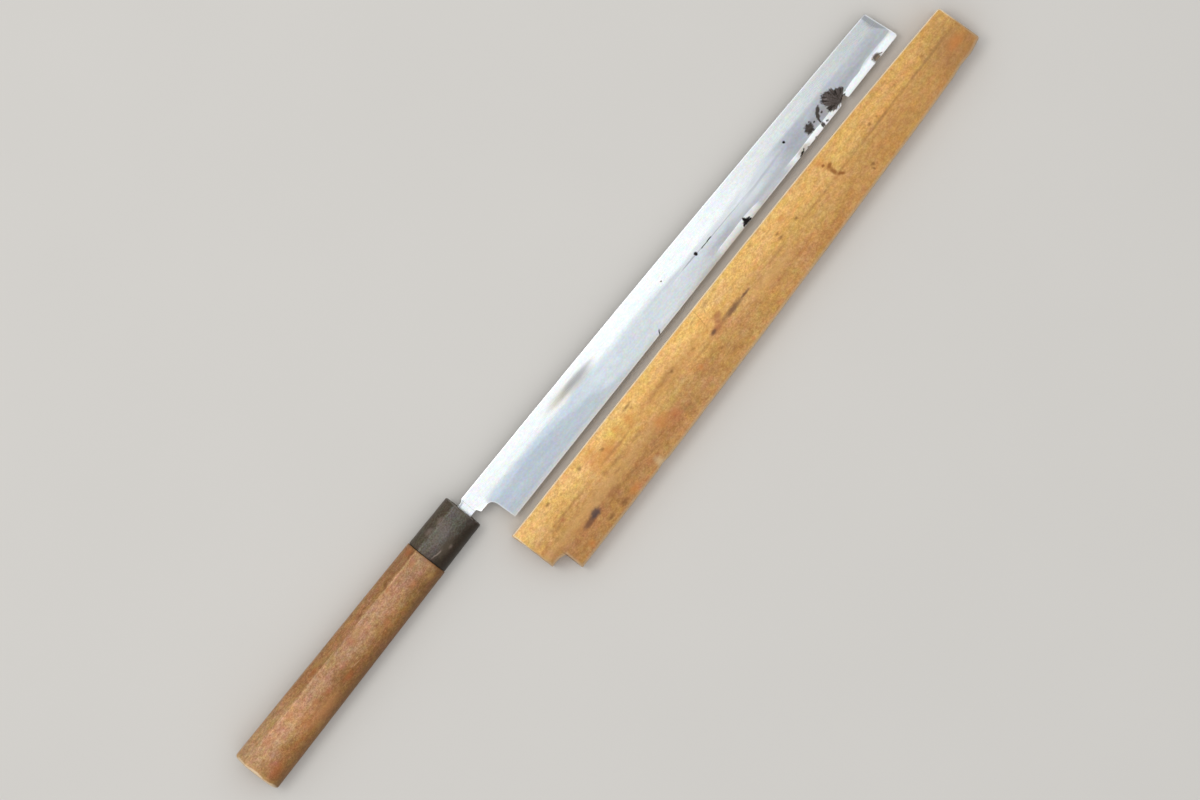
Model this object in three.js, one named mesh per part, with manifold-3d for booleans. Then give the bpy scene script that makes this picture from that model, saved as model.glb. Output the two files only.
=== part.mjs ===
// A single-bevel slicing knife with a square tip, lying beside its open-backed wooden sheath.
//
// Millimetres, +Z up. The knife lies with its bevelled face up: X runs along the spine from the
// butt of the handle to the tip, and +Y is the spine side. Sizes below are measured from the heel,
// the rear corner of the cutting edge. The finished group is then moved so that its origin is on
// the surface that it lies on, under the middle of the whole.

import * as THREE from 'three';
import { mergeVertices } from 'three/addons/utils/BufferGeometryUtils.js';
import Module from 'manifold-3d';

// Blade outline
const EDGE_LENGTH = 271.7;
const HEEL_HEIGHT = 23.5;
const EDGE_RISE = 6.2;
const SPINE_CROWN = 0.7;
const TIP_LEAN = 2.45;
const TIP_ROUND = 1.2;
const HEEL_SLANT = 0.5;
const HEEL_LINE_HEIGHT = 9.9;
const CHOIL_RADIUS = 2.8;
const SHOULDER_LENGTH = 9.4;
const SHOULDER_SLOPE = 1.4;
const NECK_LOW = 15;
const NECK_HIGH = 22.2;

// Blade section: the back is flat but for its hollow, and the front slopes from the bevel line to the edge
const BLADE_BACK_Z = 6.2;
const SPINE_THICKNESS = { start: 3.6, end: 2.3 };
const BEVEL_LINE_DROP = { start: 8.9, end: 7.2 };
const EDGE_THICKNESS = 0.15;
const STEEL_THICKNESS = 0.75;
const STEEL_START_X = -6.4;
const HOLLOW_DEPTH = 0.3;
const HOLLOW_SPINE_RIM = 2.5;
const HOLLOW_EDGE_RIM = 1.6;
const HOLLOW_FADE = 10;
const SECTIONS_AT = [-8.4, 0, 10, 20, 80, 140, 200, 256, 266, 277];
const EDGE_CHIPS = [
  { x: 234.4, width: 5.3, depth: 2.5 },
  { x: 165.6, width: 2.8, depth: 1.1 },
];

// Handle, measured along its own axis from the front of the ferrule
const HANDLE_FRONT_X = -12.6;
const HANDLE_AXIS_Y = 19.1;
const HANDLE_TILT = THREE.MathUtils.degToRad(1.33);
const HANDLE_LENGTH = 147.4;
const HANDLE_HEIGHT = { start: 20, end: 23.5 };
const HANDLE_THICKNESS = { start: 16.6, end: 19.4 };
const FERRULE_LENGTH = 26.2;
const FERRULE_INSET = 0.3;
const FERRULE_CHAMFER = 0.6;
const BUTT_ROUND = 1.6;
const GLUE_GAP = 0.2;

// Handle section: an ellipse with one ridge drawn out of it, in fractions of its half axes
const RIDGE = new THREE.Vector2(0.485, 1.02);
const UNDERSIDE_FLAT = 0.985;
const SECTION_STEPS = 26;

// Tenon, tang and the seal in the mouth of the tang hole
const TENON = { halfHeight: 6.5, halfThickness: 5.4, setBack: 0.4 };
const TANG = { length: 92, endHeight: 4, endThickness: 2.2 };
const TANG_CLEARANCE = 0.4;
const SEAL = { height: 10.4, thickness: 6.8, depth: 3, setBack: 0.8 };

// Sheath, measured along its own axis from the spine corner of its mouth
const SHEATH_CORNER = new THREE.Vector2(-6.6, -4.4);
const SHEATH_TURN = THREE.MathUtils.degToRad(0.83);
const SHEATH_LENGTH = 298.2;
const SHEATH_WIDTH = { start: 33, end: 23.3 };
const SHEATH_SPINE_SWELL = { start: 0.6, end: 2.9 };
const SHEATH_EDGE_BOW = 1.6;
const SHEATH_MOUTH_LEAN = 0.35;
const SHEATH_END_LEAN = 1.6;
const SHEATH_CORNER_ROUND = 1.2;
const NOTCH_DEPTH = 8;
const NOTCH_EASE = 1.8;
const LONG_SIDE_WIDTH = 22.4;
const BACK_BOARD_THICKNESS = 5.6;
const SLOT_HEIGHT = 4.8;
const FRONT_BOARD_THICKNESS = 5.1;
const FACE_RIDGE = { start: 14.9, end: 9.9 };
const FACE_SLOPE = THREE.MathUtils.degToRad(8);
const END_BLOCK_START = 282;

// The way the sheath moves to cover the blade
const SHEATH_TRAVEL = new THREE.Vector2(-2.2, 27.6);
const EDGE_CLEARANCE = 0.7;

const wasm = await Module();
wasm.setup();

const lerp = THREE.MathUtils.lerp;
const along = (range, t) => lerp(range.start, range.end, t);

// Turns a closed geometry into a body that can be joined and cut.
function toBody(geometry) {
  const bare = geometry.clone();
  bare.deleteAttribute('normal');
  bare.deleteAttribute('uv');
  const merged = mergeVertices(bare, 1e-4);
  return new wasm.Manifold(new wasm.Mesh({
    numProp: 3,
    vertProperties: Float32Array.from(merged.attributes.position.array),
    triVerts: Uint32Array.from(merged.index.array),
  }));
}

// Turns a joined or cut body back into a geometry.
function toGeometry(body) {
  const mesh = body.getMesh();
  const geometry = new THREE.BufferGeometry();
  geometry.setAttribute('position', new THREE.BufferAttribute(mesh.vertProperties, 3));
  geometry.setIndex(new THREE.BufferAttribute(mesh.triVerts, 1));
  geometry.computeVertexNormals();
  return geometry;
}

// Closed geometry through rings of [y, z] points, each ring at its own x and all of one count.
function loft(rings) {
  const count = rings[0].points.length;
  const position = rings.flatMap(({ x, points }) => points.flatMap(([y, z]) => [x, y, z]));
  const index = [];
  for (let ring = 0; ring < rings.length - 1; ring++) {
    for (let i = 0; i < count; i++) {
      const a = ring * count + i;
      const b = ring * count + (i + 1) % count;
      index.push(a, b, b + count, a, b + count, a + count);
    }
  }
  const last = (rings.length - 1) * count;
  const flat = (ring) => ring.points.map(([y, z]) => new THREE.Vector2(y, z));
  for (const [a, b, c] of THREE.ShapeUtils.triangulateShape(flat(rings[0]), [])) {
    index.push(c, b, a);
  }
  for (const [a, b, c] of THREE.ShapeUtils.triangulateShape(flat(rings.at(-1)), [])) {
    index.push(last + a, last + b, last + c);
  }
  const geometry = new THREE.BufferGeometry();
  geometry.setAttribute('position', new THREE.Float32BufferAttribute(position, 3));
  geometry.setIndex(index);
  return geometry;
}

// Plate with a given outline between two heights.
function plate(outline, low, high, curveSegments = 12) {
  const options = { depth: high - low, bevelEnabled: false, curveSegments };
  return new THREE.ExtrudeGeometry(outline, options).translate(0, 0, low);
}

// Box between two corners.
function boxBetween(low, high) {
  const size = new THREE.Vector3().subVectors(high, low);
  const centre = new THREE.Vector3().addVectors(low, high).multiplyScalar(0.5);
  return new THREE.BoxGeometry(size.x, size.y, size.z).translate(centre.x, centre.y, centre.z);
}

// Blade

const edgeY = (x) => EDGE_RISE * x / EDGE_LENGTH;
const spineY = (x) => HEEL_HEIGHT + 4 * SPINE_CROWN * (x / EDGE_LENGTH) * (1 - x / EDGE_LENGTH);
const tangAxisY = (x) => HANDLE_AXIS_Y + (x - HANDLE_FRONT_X) * Math.tan(HANDLE_TILT);

// Outline of the blade with its shoulder, neck and tang, seen from above.
function bladeOutline() {
  const shoulderLow = HEEL_LINE_HEIGHT + CHOIL_RADIUS;
  const tangEnd = HANDLE_FRONT_X - TANG.length;
  const tipSpineX = EDGE_LENGTH - TIP_LEAN;
  const middle = tipSpineX / 2;
  const outline = new THREE.Shape();
  outline.moveTo(tangEnd, tangAxisY(tangEnd) + TANG.endHeight / 2);
  outline.lineTo(HANDLE_FRONT_X, NECK_HIGH);
  outline.lineTo(-SHOULDER_LENGTH, NECK_HIGH);
  outline.lineTo(-SHOULDER_LENGTH, spineY(-SHOULDER_LENGTH));
  outline.lineTo(0, spineY(0));
  outline.quadraticCurveTo(middle, HEEL_HEIGHT + 2 * SPINE_CROWN, tipSpineX, spineY(tipSpineX));
  outline.lineTo(EDGE_LENGTH, EDGE_RISE + TIP_ROUND);
  outline.quadraticCurveTo(EDGE_LENGTH, EDGE_RISE, EDGE_LENGTH - TIP_ROUND, edgeY(EDGE_LENGTH - TIP_ROUND));
  outline.lineTo(0, 0);
  outline.lineTo(-HEEL_SLANT, HEEL_LINE_HEIGHT);
  outline.quadraticCurveTo(-HEEL_SLANT, shoulderLow, -HEEL_SLANT - CHOIL_RADIUS, shoulderLow);
  outline.lineTo(SHOULDER_SLOPE * 1.5 - SHOULDER_LENGTH, shoulderLow);
  outline.lineTo(SHOULDER_SLOPE * 0.5 - SHOULDER_LENGTH, NECK_LOW);
  outline.lineTo(HANDLE_FRONT_X, NECK_LOW);
  outline.lineTo(tangEnd, tangAxisY(tangEnd) - TANG.endHeight / 2);
  return outline;
}

// Share of the full hollow in the back: none at the shoulder and the tip, full between them.
function hollowShare(x) {
  const fromHeel = (x - HOLLOW_FADE) / HOLLOW_FADE;
  const fromTip = (EDGE_LENGTH - HOLLOW_FADE / 2 - x) / HOLLOW_FADE;
  return THREE.MathUtils.clamp(Math.min(fromHeel, fromTip), 0, 1);
}

// Section of the blade at x, reaching past the outline on both sides so that the outline trims it.
function bladeSection(x) {
  const t = x / EDGE_LENGTH;
  const overhang = 3;
  const top = BLADE_BACK_Z + along(SPINE_THICKNESS, t);
  const bevelLine = spineY(x) - along(BEVEL_LINE_DROP, t);
  const edgeTop = BLADE_BACK_Z + EDGE_THICKNESS;
  const hollowLow = edgeY(x) + HOLLOW_EDGE_RIM;
  const hollowHigh = spineY(x) - HOLLOW_SPINE_RIM;
  const hollow = [0, 0.25, 0.5, 0.75, 1].map((s) => [
    lerp(hollowLow, hollowHigh, s),
    BLADE_BACK_Z + HOLLOW_DEPTH * hollowShare(x) * 4 * s * (1 - s),
  ]);
  const points = [
    [edgeY(x) - overhang, BLADE_BACK_Z],
    ...hollow,
    [spineY(x) + overhang, BLADE_BACK_Z],
    [spineY(x) + overhang, top],
    [bevelLine, top],
    [edgeY(x), edgeTop],
    [edgeY(x) - overhang, edgeTop],
  ];
  return { x, points };
}

// The tang as a body: it thins from the neck to its end, inside the handle.
function tangBody(outline) {
  const front = -SHOULDER_LENGTH + SHOULDER_SLOPE;
  const end = HANDLE_FRONT_X - TANG.length - 1;
  const middle = BLADE_BACK_Z + SPINE_THICKNESS.start / 2;
  const ring = (x, thickness) => ({
    x,
    points: [[0, -1], [40, -1], [40, 1], [0, 1]].map(([y, side]) => [y, middle + side * thickness / 2]),
  });
  const slab = loft([ring(end, TANG.endThickness), ring(front, SPINE_THICKNESS.start)]);
  return toBody(slab).intersect(toBody(plate(outline, BLADE_BACK_Z - 5, BLADE_BACK_Z + 10)));
}

function bladeBody() {
  const outline = bladeOutline();
  const blade = toBody(loft(SECTIONS_AT.map(bladeSection)));
  const trim = toBody(plate(outline, BLADE_BACK_Z - 5, BLADE_BACK_Z + 10));
  let body = blade.intersect(trim).add(tangBody(outline));
  for (const chip of EDGE_CHIPS) {
    const bite = new THREE.Shape();
    bite.absellipse(chip.x, edgeY(chip.x), chip.width / 2, chip.depth, 0, 2 * Math.PI);
    body = body.subtract(toBody(plate(bite, BLADE_BACK_Z - 5, BLADE_BACK_Z + 10, 6)));
  }
  return body;
}

// The steel is the lower layer of the blade, and the iron is the rest of it.
function bladeLayers() {
  const low = new THREE.Vector3(STEEL_START_X, -20, BLADE_BACK_Z - 10);
  const high = new THREE.Vector3(EDGE_LENGTH + 20, 50, BLADE_BACK_Z + STEEL_THICKNESS);
  const layer = toBody(boxBetween(low, high));
  const body = bladeBody();
  return { steel: body.intersect(layer), iron: body.subtract(layer) };
}

// Handle

// Points of the handle's section, which lies on the flat of its underside.
function handleSection(x, inset = 0) {
  const t = -x / HANDLE_LENGTH;
  const halfHeight = along(HANDLE_HEIGHT, t) / 2;
  const halfThickness = along(HANDLE_THICKNESS, t) / (UNDERSIDE_FLAT + RIDGE.y);
  const middle = UNDERSIDE_FLAT * halfThickness;
  const reach = Math.acos(1 / RIDGE.length());
  const start = RIDGE.angle() + reach;
  const end = RIDGE.angle() - reach + 2 * Math.PI;
  const unit = [[RIDGE.x, RIDGE.y]];
  for (let i = 0; i <= SECTION_STEPS; i++) {
    const angle = lerp(start, end, i / SECTION_STEPS);
    unit.push([Math.cos(angle), Math.max(Math.sin(angle), -UNDERSIDE_FLAT)]);
  }
  const points = unit.map(([y, z]) => [(halfHeight - inset) * y, middle + (halfThickness - inset) * z]);
  return { x, points };
}

// Height of the middle of the front of the handle, where the tang goes in.
const TANG_MIDDLE_Z = BLADE_BACK_Z + SPINE_THICKNESS.start / 2;

// Bar of oval or square section along the handle's axis.
function axisBar(from, to, halfHeight, halfThickness, sides) {
  const corner = sides === 4 ? Math.SQRT2 : 1;
  const points = Array.from({ length: sides }, (_, i) => {
    const angle = (i + 0.5) * 2 * Math.PI / sides;
    return [corner * halfHeight * Math.cos(angle), TANG_MIDDLE_Z + corner * halfThickness * Math.sin(angle)];
  });
  return loft([{ x: from, points }, { x: to, points }]);
}

// The hole that takes the tang, a little larger than the tang all round.
function tangHole() {
  const ring = (x, height, thickness) => ({
    x,
    points: [[-1, -1], [1, -1], [1, 1], [-1, 1]].map(([y, z]) => [
      y * (height / 2 + TANG_CLEARANCE),
      TANG_MIDDLE_Z + z * (thickness / 2 + TANG_CLEARANCE),
    ]),
  });
  const deep = ring(-TANG.length - 2, TANG.endHeight + 0.5, TANG.endThickness);
  const mouth = ring(1, NECK_HIGH - NECK_LOW + 0.5, SPINE_THICKNESS.start);
  return toBody(loft([deep, mouth]));
}

function gripBody() {
  const roundSteps = 4;
  const rings = [];
  for (let i = 0; i <= roundSteps; i++) {
    const angle = i / roundSteps * Math.PI / 2;
    const inset = BUTT_ROUND * (1 - Math.sin(angle));
    rings.push(handleSection(-HANDLE_LENGTH + BUTT_ROUND * (1 - Math.cos(angle)), inset));
  }
  rings.push(handleSection(-FERRULE_LENGTH));
  const tenon = axisBar(-FERRULE_LENGTH - 1, -TENON.setBack, TENON.halfHeight, TENON.halfThickness, 20);
  const mouth = axisBar(-SEAL.depth, 1, SEAL.height / 2 + GLUE_GAP, SEAL.thickness / 2 + GLUE_GAP, 4);
  return toBody(loft(rings)).add(toBody(tenon)).subtract(tangHole()).subtract(toBody(mouth));
}

function ferruleBody() {
  const rings = [
    handleSection(-FERRULE_LENGTH + GLUE_GAP, FERRULE_INSET),
    handleSection(-FERRULE_CHAMFER, FERRULE_INSET),
    handleSection(0, FERRULE_INSET + FERRULE_CHAMFER),
  ];
  const halfHeight = TENON.halfHeight + GLUE_GAP;
  const halfThickness = TENON.halfThickness + GLUE_GAP;
  const bore = axisBar(-FERRULE_LENGTH - 1, 1, halfHeight, halfThickness, 20);
  return toBody(loft(rings)).subtract(toBody(bore));
}

function sealBody() {
  const plug = axisBar(-SEAL.depth + GLUE_GAP, -SEAL.setBack, SEAL.height / 2, SEAL.thickness / 2, 4);
  return toBody(plug).subtract(tangHole());
}

// Sheath

const SHEATH_FACE_Z = BACK_BOARD_THICKNESS + SLOT_HEIGHT + FRONT_BOARD_THICKNESS;

// Edge side of the sheath at a distance from its mouth.
function sheathEdgeY(x) {
  const t = x / SHEATH_LENGTH;
  return -along(SHEATH_WIDTH, t) - 4 * SHEATH_EDGE_BOW * t * (1 - t);
}

// Runs the bowed edge side of the sheath into an outline, from its tip end toward its mouth.
function addEdgeSide(outline, fromX, toX) {
  const middle = (fromX + toX) / 2;
  const chordMiddle = (sheathEdgeY(fromX) + sheathEdgeY(toX)) / 2;
  const control = 2 * sheathEdgeY(middle) - chordMiddle;
  outline.lineTo(fromX, sheathEdgeY(fromX));
  outline.quadraticCurveTo(middle, control, toX, sheathEdgeY(toX));
}

// Outline of both boards, with the notch that shortens the edge side of the mouth.
function boardOutline() {
  const round = SHEATH_CORNER_ROUND;
  const endLow = SHEATH_LENGTH + SHEATH_END_LEAN;
  const third = SHEATH_LENGTH / 3;
  const { start, end } = SHEATH_SPINE_SWELL;
  const outline = new THREE.Shape();
  outline.moveTo(0, 0);
  outline.bezierCurveTo(third, start, 2 * third, end, SHEATH_LENGTH - round, 0);
  outline.quadraticCurveTo(SHEATH_LENGTH, 0, SHEATH_LENGTH, -round);
  outline.lineTo(endLow, sheathEdgeY(endLow) + round);
  outline.quadraticCurveTo(endLow, sheathEdgeY(endLow), endLow - round, sheathEdgeY(endLow - round));
  addEdgeSide(outline, endLow - round, NOTCH_DEPTH);
  outline.lineTo(NOTCH_DEPTH, -LONG_SIDE_WIDTH - NOTCH_EASE);
  outline.lineTo(NOTCH_DEPTH - NOTCH_EASE, -LONG_SIDE_WIDTH);
  outline.lineTo(SHEATH_MOUTH_LEAN, -LONG_SIDE_WIDTH);
  return outline;
}

// A point of the covered blade, seen from the mouth of the sheath.
function inSheath(x, y) {
  const point = new THREE.Vector2(x, y).sub(SHEATH_TRAVEL).sub(SHEATH_CORNER);
  return point.rotateAround(new THREE.Vector2(), -SHEATH_TURN);
}

// The strip fills the edge side of the slot, clear of the cutting edge.
function edgeStripOutline() {
  const heel = inSheath(0, -EDGE_CLEARANCE);
  const tip = inSheath(EDGE_LENGTH, EDGE_RISE - EDGE_CLEARANCE);
  const slope = (tip.y - heel.y) / (tip.x - heel.x);
  const innerY = (x) => heel.y + slope * (x - heel.x);
  const end = END_BLOCK_START - GLUE_GAP;
  const outline = new THREE.Shape();
  outline.moveTo(NOTCH_DEPTH, innerY(NOTCH_DEPTH));
  outline.lineTo(end, innerY(end));
  addEdgeSide(outline, end, NOTCH_DEPTH);
  return outline;
}

function frontBoardBody() {
  const low = BACK_BOARD_THICKNESS + SLOT_HEIGHT;
  const length = SHEATH_LENGTH * 1.2;
  const waste = boxBetween(new THREE.Vector3(-length, -60, 0), new THREE.Vector3(length, 0, 20));
  waste.rotateX(FACE_SLOPE);
  waste.rotateZ(Math.atan2(FACE_RIDGE.start - FACE_RIDGE.end, SHEATH_LENGTH));
  waste.translate(0, -FACE_RIDGE.start, SHEATH_FACE_Z);
  return toBody(plate(boardOutline(), low, SHEATH_FACE_Z)).subtract(toBody(waste));
}

function endBlockBody() {
  const low = new THREE.Vector3(END_BLOCK_START, -60, BACK_BOARD_THICKNESS);
  const high = new THREE.Vector3(SHEATH_LENGTH + 20, 20, BACK_BOARD_THICKNESS + SLOT_HEIGHT);
  const core = plate(boardOutline(), BACK_BOARD_THICKNESS, BACK_BOARD_THICKNESS + SLOT_HEIGHT);
  return toBody(core).intersect(toBody(boxBetween(low, high)));
}

// Materials

const softIron = new THREE.MeshStandardMaterial({ color: '#c3c9d0', roughness: 0.36, metalness: 1 });
const hardSteel = new THREE.MeshStandardMaterial({ color: '#dde0e4', roughness: 0.26, metalness: 1 });
const gripWood = new THREE.MeshStandardMaterial({ color: '#b48a63', roughness: 0.62, metalness: 0 });
const horn = new THREE.MeshStandardMaterial({ color: '#5a5048', roughness: 0.42, metalness: 0 });
const resin = new THREE.MeshStandardMaterial({ color: '#3a2c20', roughness: 0.5, metalness: 0 });
const sheathWood = new THREE.MeshStandardMaterial({ color: '#cf9f60', roughness: 0.66, metalness: 0 });

function piece(name, geometry, material) {
  const mesh = new THREE.Mesh(geometry, material.clone());
  mesh.name = name;
  return mesh;
}

// Assembly

function makeKnife() {
  const knife = new THREE.Group();
  const { steel, iron } = bladeLayers();
  knife.add(piece('blade_iron', toGeometry(iron), softIron));
  knife.add(piece('edge_steel', toGeometry(steel), hardSteel));
  const handle = new THREE.Group();
  handle.position.set(HANDLE_FRONT_X, HANDLE_AXIS_Y, 0);
  handle.rotation.z = HANDLE_TILT;
  handle.add(piece('handle_grip', toGeometry(gripBody()), gripWood));
  handle.add(piece('horn_ferrule', toGeometry(ferruleBody()), horn));
  handle.add(piece('tang_seal', toGeometry(sealBody()), resin));
  knife.add(handle);
  return knife;
}

function makeSheath() {
  const sheath = new THREE.Group();
  const slotTop = BACK_BOARD_THICKNESS + SLOT_HEIGHT;
  const backBoard = plate(boardOutline(), 0, BACK_BOARD_THICKNESS);
  const edgeStrip = plate(edgeStripOutline(), BACK_BOARD_THICKNESS, slotTop);
  sheath.position.set(SHEATH_CORNER.x, SHEATH_CORNER.y, 0);
  sheath.rotation.z = SHEATH_TURN;
  sheath.add(piece('sheath_front_board', toGeometry(frontBoardBody()), sheathWood));
  sheath.add(piece('sheath_back_board', backBoard, sheathWood));
  sheath.add(piece('sheath_edge_strip', edgeStrip, sheathWood));
  sheath.add(piece('sheath_end_block', toGeometry(endBlockBody()), sheathWood));
  return sheath;
}

const takohiki = new THREE.Group();
takohiki.add(makeKnife(), makeSheath());
const middle = new THREE.Box3().setFromObject(takohiki, true).getCenter(new THREE.Vector3());
takohiki.position.set(-middle.x, -middle.y, 0);

export default takohiki;
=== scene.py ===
"""A square-tipped single-bevel slicing knife lying beside its open-backed wooden sheath."""

import math
from functools import reduce
from types import SimpleNamespace

import bmesh
import bpy
import numpy as np
from bpy.props import FloatProperty, FloatVectorProperty, PointerProperty
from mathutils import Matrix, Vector


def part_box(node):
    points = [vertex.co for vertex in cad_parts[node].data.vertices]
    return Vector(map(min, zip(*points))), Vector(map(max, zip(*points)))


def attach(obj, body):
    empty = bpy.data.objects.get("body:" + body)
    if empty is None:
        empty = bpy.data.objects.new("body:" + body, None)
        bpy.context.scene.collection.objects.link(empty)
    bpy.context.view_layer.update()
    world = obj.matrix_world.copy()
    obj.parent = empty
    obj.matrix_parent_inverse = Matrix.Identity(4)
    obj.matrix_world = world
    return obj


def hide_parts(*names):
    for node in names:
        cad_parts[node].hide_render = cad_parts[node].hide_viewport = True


bl_info = {
    "name": "Slicing Knife and Sheath",
    "version": (1, 0, 0),
    "blender": (4, 5, 0),
    "location": "View3D > Sidebar > Knife",
    "description": "Builds a square-tipped slicing knife and its wooden sheath on the packed frame",
    "category": "Add Mesh",
}

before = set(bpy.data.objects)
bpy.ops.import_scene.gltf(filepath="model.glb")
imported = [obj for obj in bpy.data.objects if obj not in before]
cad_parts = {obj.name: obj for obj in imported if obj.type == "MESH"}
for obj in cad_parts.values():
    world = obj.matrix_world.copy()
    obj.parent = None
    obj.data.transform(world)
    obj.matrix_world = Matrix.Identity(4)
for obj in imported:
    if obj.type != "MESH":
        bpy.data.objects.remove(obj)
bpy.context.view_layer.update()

MM = 0.001
EDGE_LENGTH = 271.7
STEEL_LOW, STEEL_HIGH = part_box("edge_steel")
GRIP_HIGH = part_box("handle_grip")[1]
BOARD_LOW, BOARD_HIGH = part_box("sheath_front_board")

# The rear corner of the cutting edge, from which the sizes of the pieces are measured.
HEEL = Vector((STEEL_HIGH.x - EDGE_LENGTH * MM, STEEL_LOW.y, 0))
BLADE_BACK = STEEL_LOW.z / MM
SLOT_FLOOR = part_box("sheath_back_board")[1].z / MM
SLOT_ROOF = BOARD_LOW.z / MM
SHEATH_FACE = BOARD_HIGH.z / MM


# Settings


def linear(red, green, blue):
    """Scene colour of display values from 0 to 255."""
    shares = [value / 255 for value in (red, green, blue)]
    return tuple(c / 12.92 if c <= 0.04045 else ((c + 0.055) / 1.055) ** 2.4 for c in shares)


def length(name, millimetres, description):
    """Property for a length, given in millimetres and kept in metres."""
    return FloatProperty(
        name=name, description=description, default=millimetres * MM, min=0, precision=5, unit="LENGTH"
    )


def angle(name, degrees, description):
    """Property for an angle, given in degrees and kept in radians."""
    return FloatProperty(name=name, description=description, default=math.radians(degrees), unit="ROTATION")


def colour(name, red, green, blue, description):
    """Property for a surface colour, given as display values from 0 to 255."""
    return FloatVectorProperty(
        name=name, description=description, default=linear(red, green, blue), min=0, max=1, subtype="COLOR"
    )


class BladeSettings(bpy.types.PropertyGroup):
    """Sizes and colours of the blade."""

    edge_length: length("Edge length", EDGE_LENGTH, "Cutting edge from heel to tip")
    heel_height: length("Heel height", 23.5, "Height of the blade at the heel")
    edge_rise: length("Edge rise", 6.2, "How far the edge nears the line of the spine toward the tip")
    spine_crown: length("Spine crown", 0.7, "Bow of the spine at its middle")
    tip_lean: length("Tip lean", 2.45, "How far the end of the blade leans back at the spine")
    tip_round: length("Tip round", 1.2, "Radius of the corner between the end and the edge")
    heel_slant: length("Heel slant", 0.5, "How far the heel line leans")
    heel_line: length("Heel line", 9.4, "Height of the straight heel line")
    choil_radius: length("Choil radius", 3.3, "Radius of the hollow between heel and shoulder")
    shoulder_length: length("Shoulder length", 9.4, "Shoulder from the heel to the neck")
    neck_low: length("Neck low", 15, "Edge side of the neck")
    neck_high: length("Neck high", 22.55, "Spine side of the neck")
    tang_end: length("Tang end", 104.6, "End of the tang behind the heel")
    heel_thickness: length("Thickness at heel", 3.6, "Thickness of the flat at the heel")
    tip_thickness: length("Thickness at tip", 2.3, "Thickness of the flat at the tip")
    heel_flat: length("Flat at heel", 8.9, "Width of the flat between spine and bevel line at the heel")
    tip_flat: length("Flat at tip", 7.2, "Width of the flat between spine and bevel line at the tip")
    edge_thickness: length("Edge thickness", 0.15, "Thickness left at the cutting edge")
    bevel_ease: length("Bevel ease", 0.22, "Softness of the bevel line")
    steel_band: length("Steel band", 2.45, "Height of the hard steel that shows along the edge")
    hollow_depth: length("Hollow depth", 0.3, "Depth of the hollow in the back")
    flat_colour: colour("Flat", 200, 205, 207, "Polished iron above the bevel line")
    bevel_colour: colour("Bevel", 190, 201, 212, "Hazy iron below the bevel line")
    steel_colour: colour("Steel", 243, 249, 255, "Bright hard steel along the edge")


class HandleSettings(bpy.types.PropertyGroup):
    """Sizes and colours of the handle."""

    front_x: length("Front", 12.6, "Front of the ferrule behind the heel")
    axis_y: length("Axis height", 19.1, "Middle of the handle above the heel at its front")
    tilt: angle("Tilt", 1.33, "Drop of the handle toward its butt")
    total_length: length("Length", 147.4, "Handle with its ferrule")
    front_height: length("Height at front", 20, "Section from spine side to edge side at the front")
    butt_height: length("Height at butt", 23.5, "Section from spine side to edge side at the butt")
    front_thickness: length("Thickness at front", 16.6, "Section from its flat to its ridge at the front")
    butt_thickness: length(
        "Thickness at butt", GRIP_HIGH.z / MM, "Section from its flat to its ridge at the butt"
    )
    ferrule_length: length("Ferrule length", 26.2, "Horn collar along the handle")
    ferrule_inset: length("Ferrule inset", 0.3, "How far the horn has shrunk below the wood")
    ferrule_round: length("Ferrule round", 0.7, "Rounding at the front of the horn collar")
    butt_round: length("Butt round", 1.6, "Rounding round the butt")
    wood_colour: colour("Wood", 199, 150, 112, "Bare wood of the grip")
    wood_dark_colour: colour("Dark wood", 166, 116, 66, "Handled and dark streaks of the grip")
    horn_colour: colour("Horn", 95, 87, 77, "Grey middle of the horn")
    horn_dark_colour: colour("Dark horn", 47, 35, 20, "Brown streaks of the horn")
    resin_colour: colour("Resin", 46, 33, 24, "Resin that seals the tang")


class SheathSettings(bpy.types.PropertyGroup):
    """Sizes and colours of the sheath."""

    corner_x: length("Mouth behind heel", 6.6, "Spine corner of the mouth behind the heel")
    corner_y: length("Mouth below heel", 4.4, "Spine corner of the mouth away from the edge")
    turn: angle("Turn", 0.83, "Angle between the sheath and the spine of the blade")
    total_length: length("Length", 298.2, "Sheath along its spine side")
    mouth_width: length("Mouth width", 33, "Width at the mouth, without the notch")
    end_width: length("End width", 23.3, "Width at the tip end")
    mouth_swell: length("Swell at mouth", 0.6, "Reach of the curve of the spine side, a third from the mouth")
    end_swell: length("Swell at end", 2.9, "Reach of the curve of the spine side, a third from the end")
    edge_bow: length("Edge bow", 1.6, "Bow of the edge side")
    mouth_lean: length("Mouth lean", 0.35, "How much shorter the mouth is at the edge side")
    end_lean: length("End lean", 1.6, "How much longer the edge side is")
    notch_depth: length("Notch depth", 8, "Step that shortens the edge side of the mouth")
    notch_ease: length("Notch ease", 1.8, "Slant in the corner of the notch")
    long_side: length("Long side", 22.4, "Width of the part of the mouth that reaches to the shoulder")
    mouth_ridge: length("Ridge at mouth", 14.9, "Ridge of the face below the spine side at the mouth")
    end_ridge: length("Ridge at end", 9.9, "Ridge of the face below the spine side at the end")
    slope: angle("Face slope", 8, "Slope of the face between the ridge and the edge side")
    block_start: length("Block start", 282, "Start of the block that closes the tip end")
    light_colour: colour("Light wood", 241, 193, 116, "Wood near the spine side")
    dark_colour: colour("Dark wood", 180, 130, 76, "Handled wood near the edge side")
    stain_colour: colour("Stain", 74, 47, 27, "Dark stains")


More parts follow.
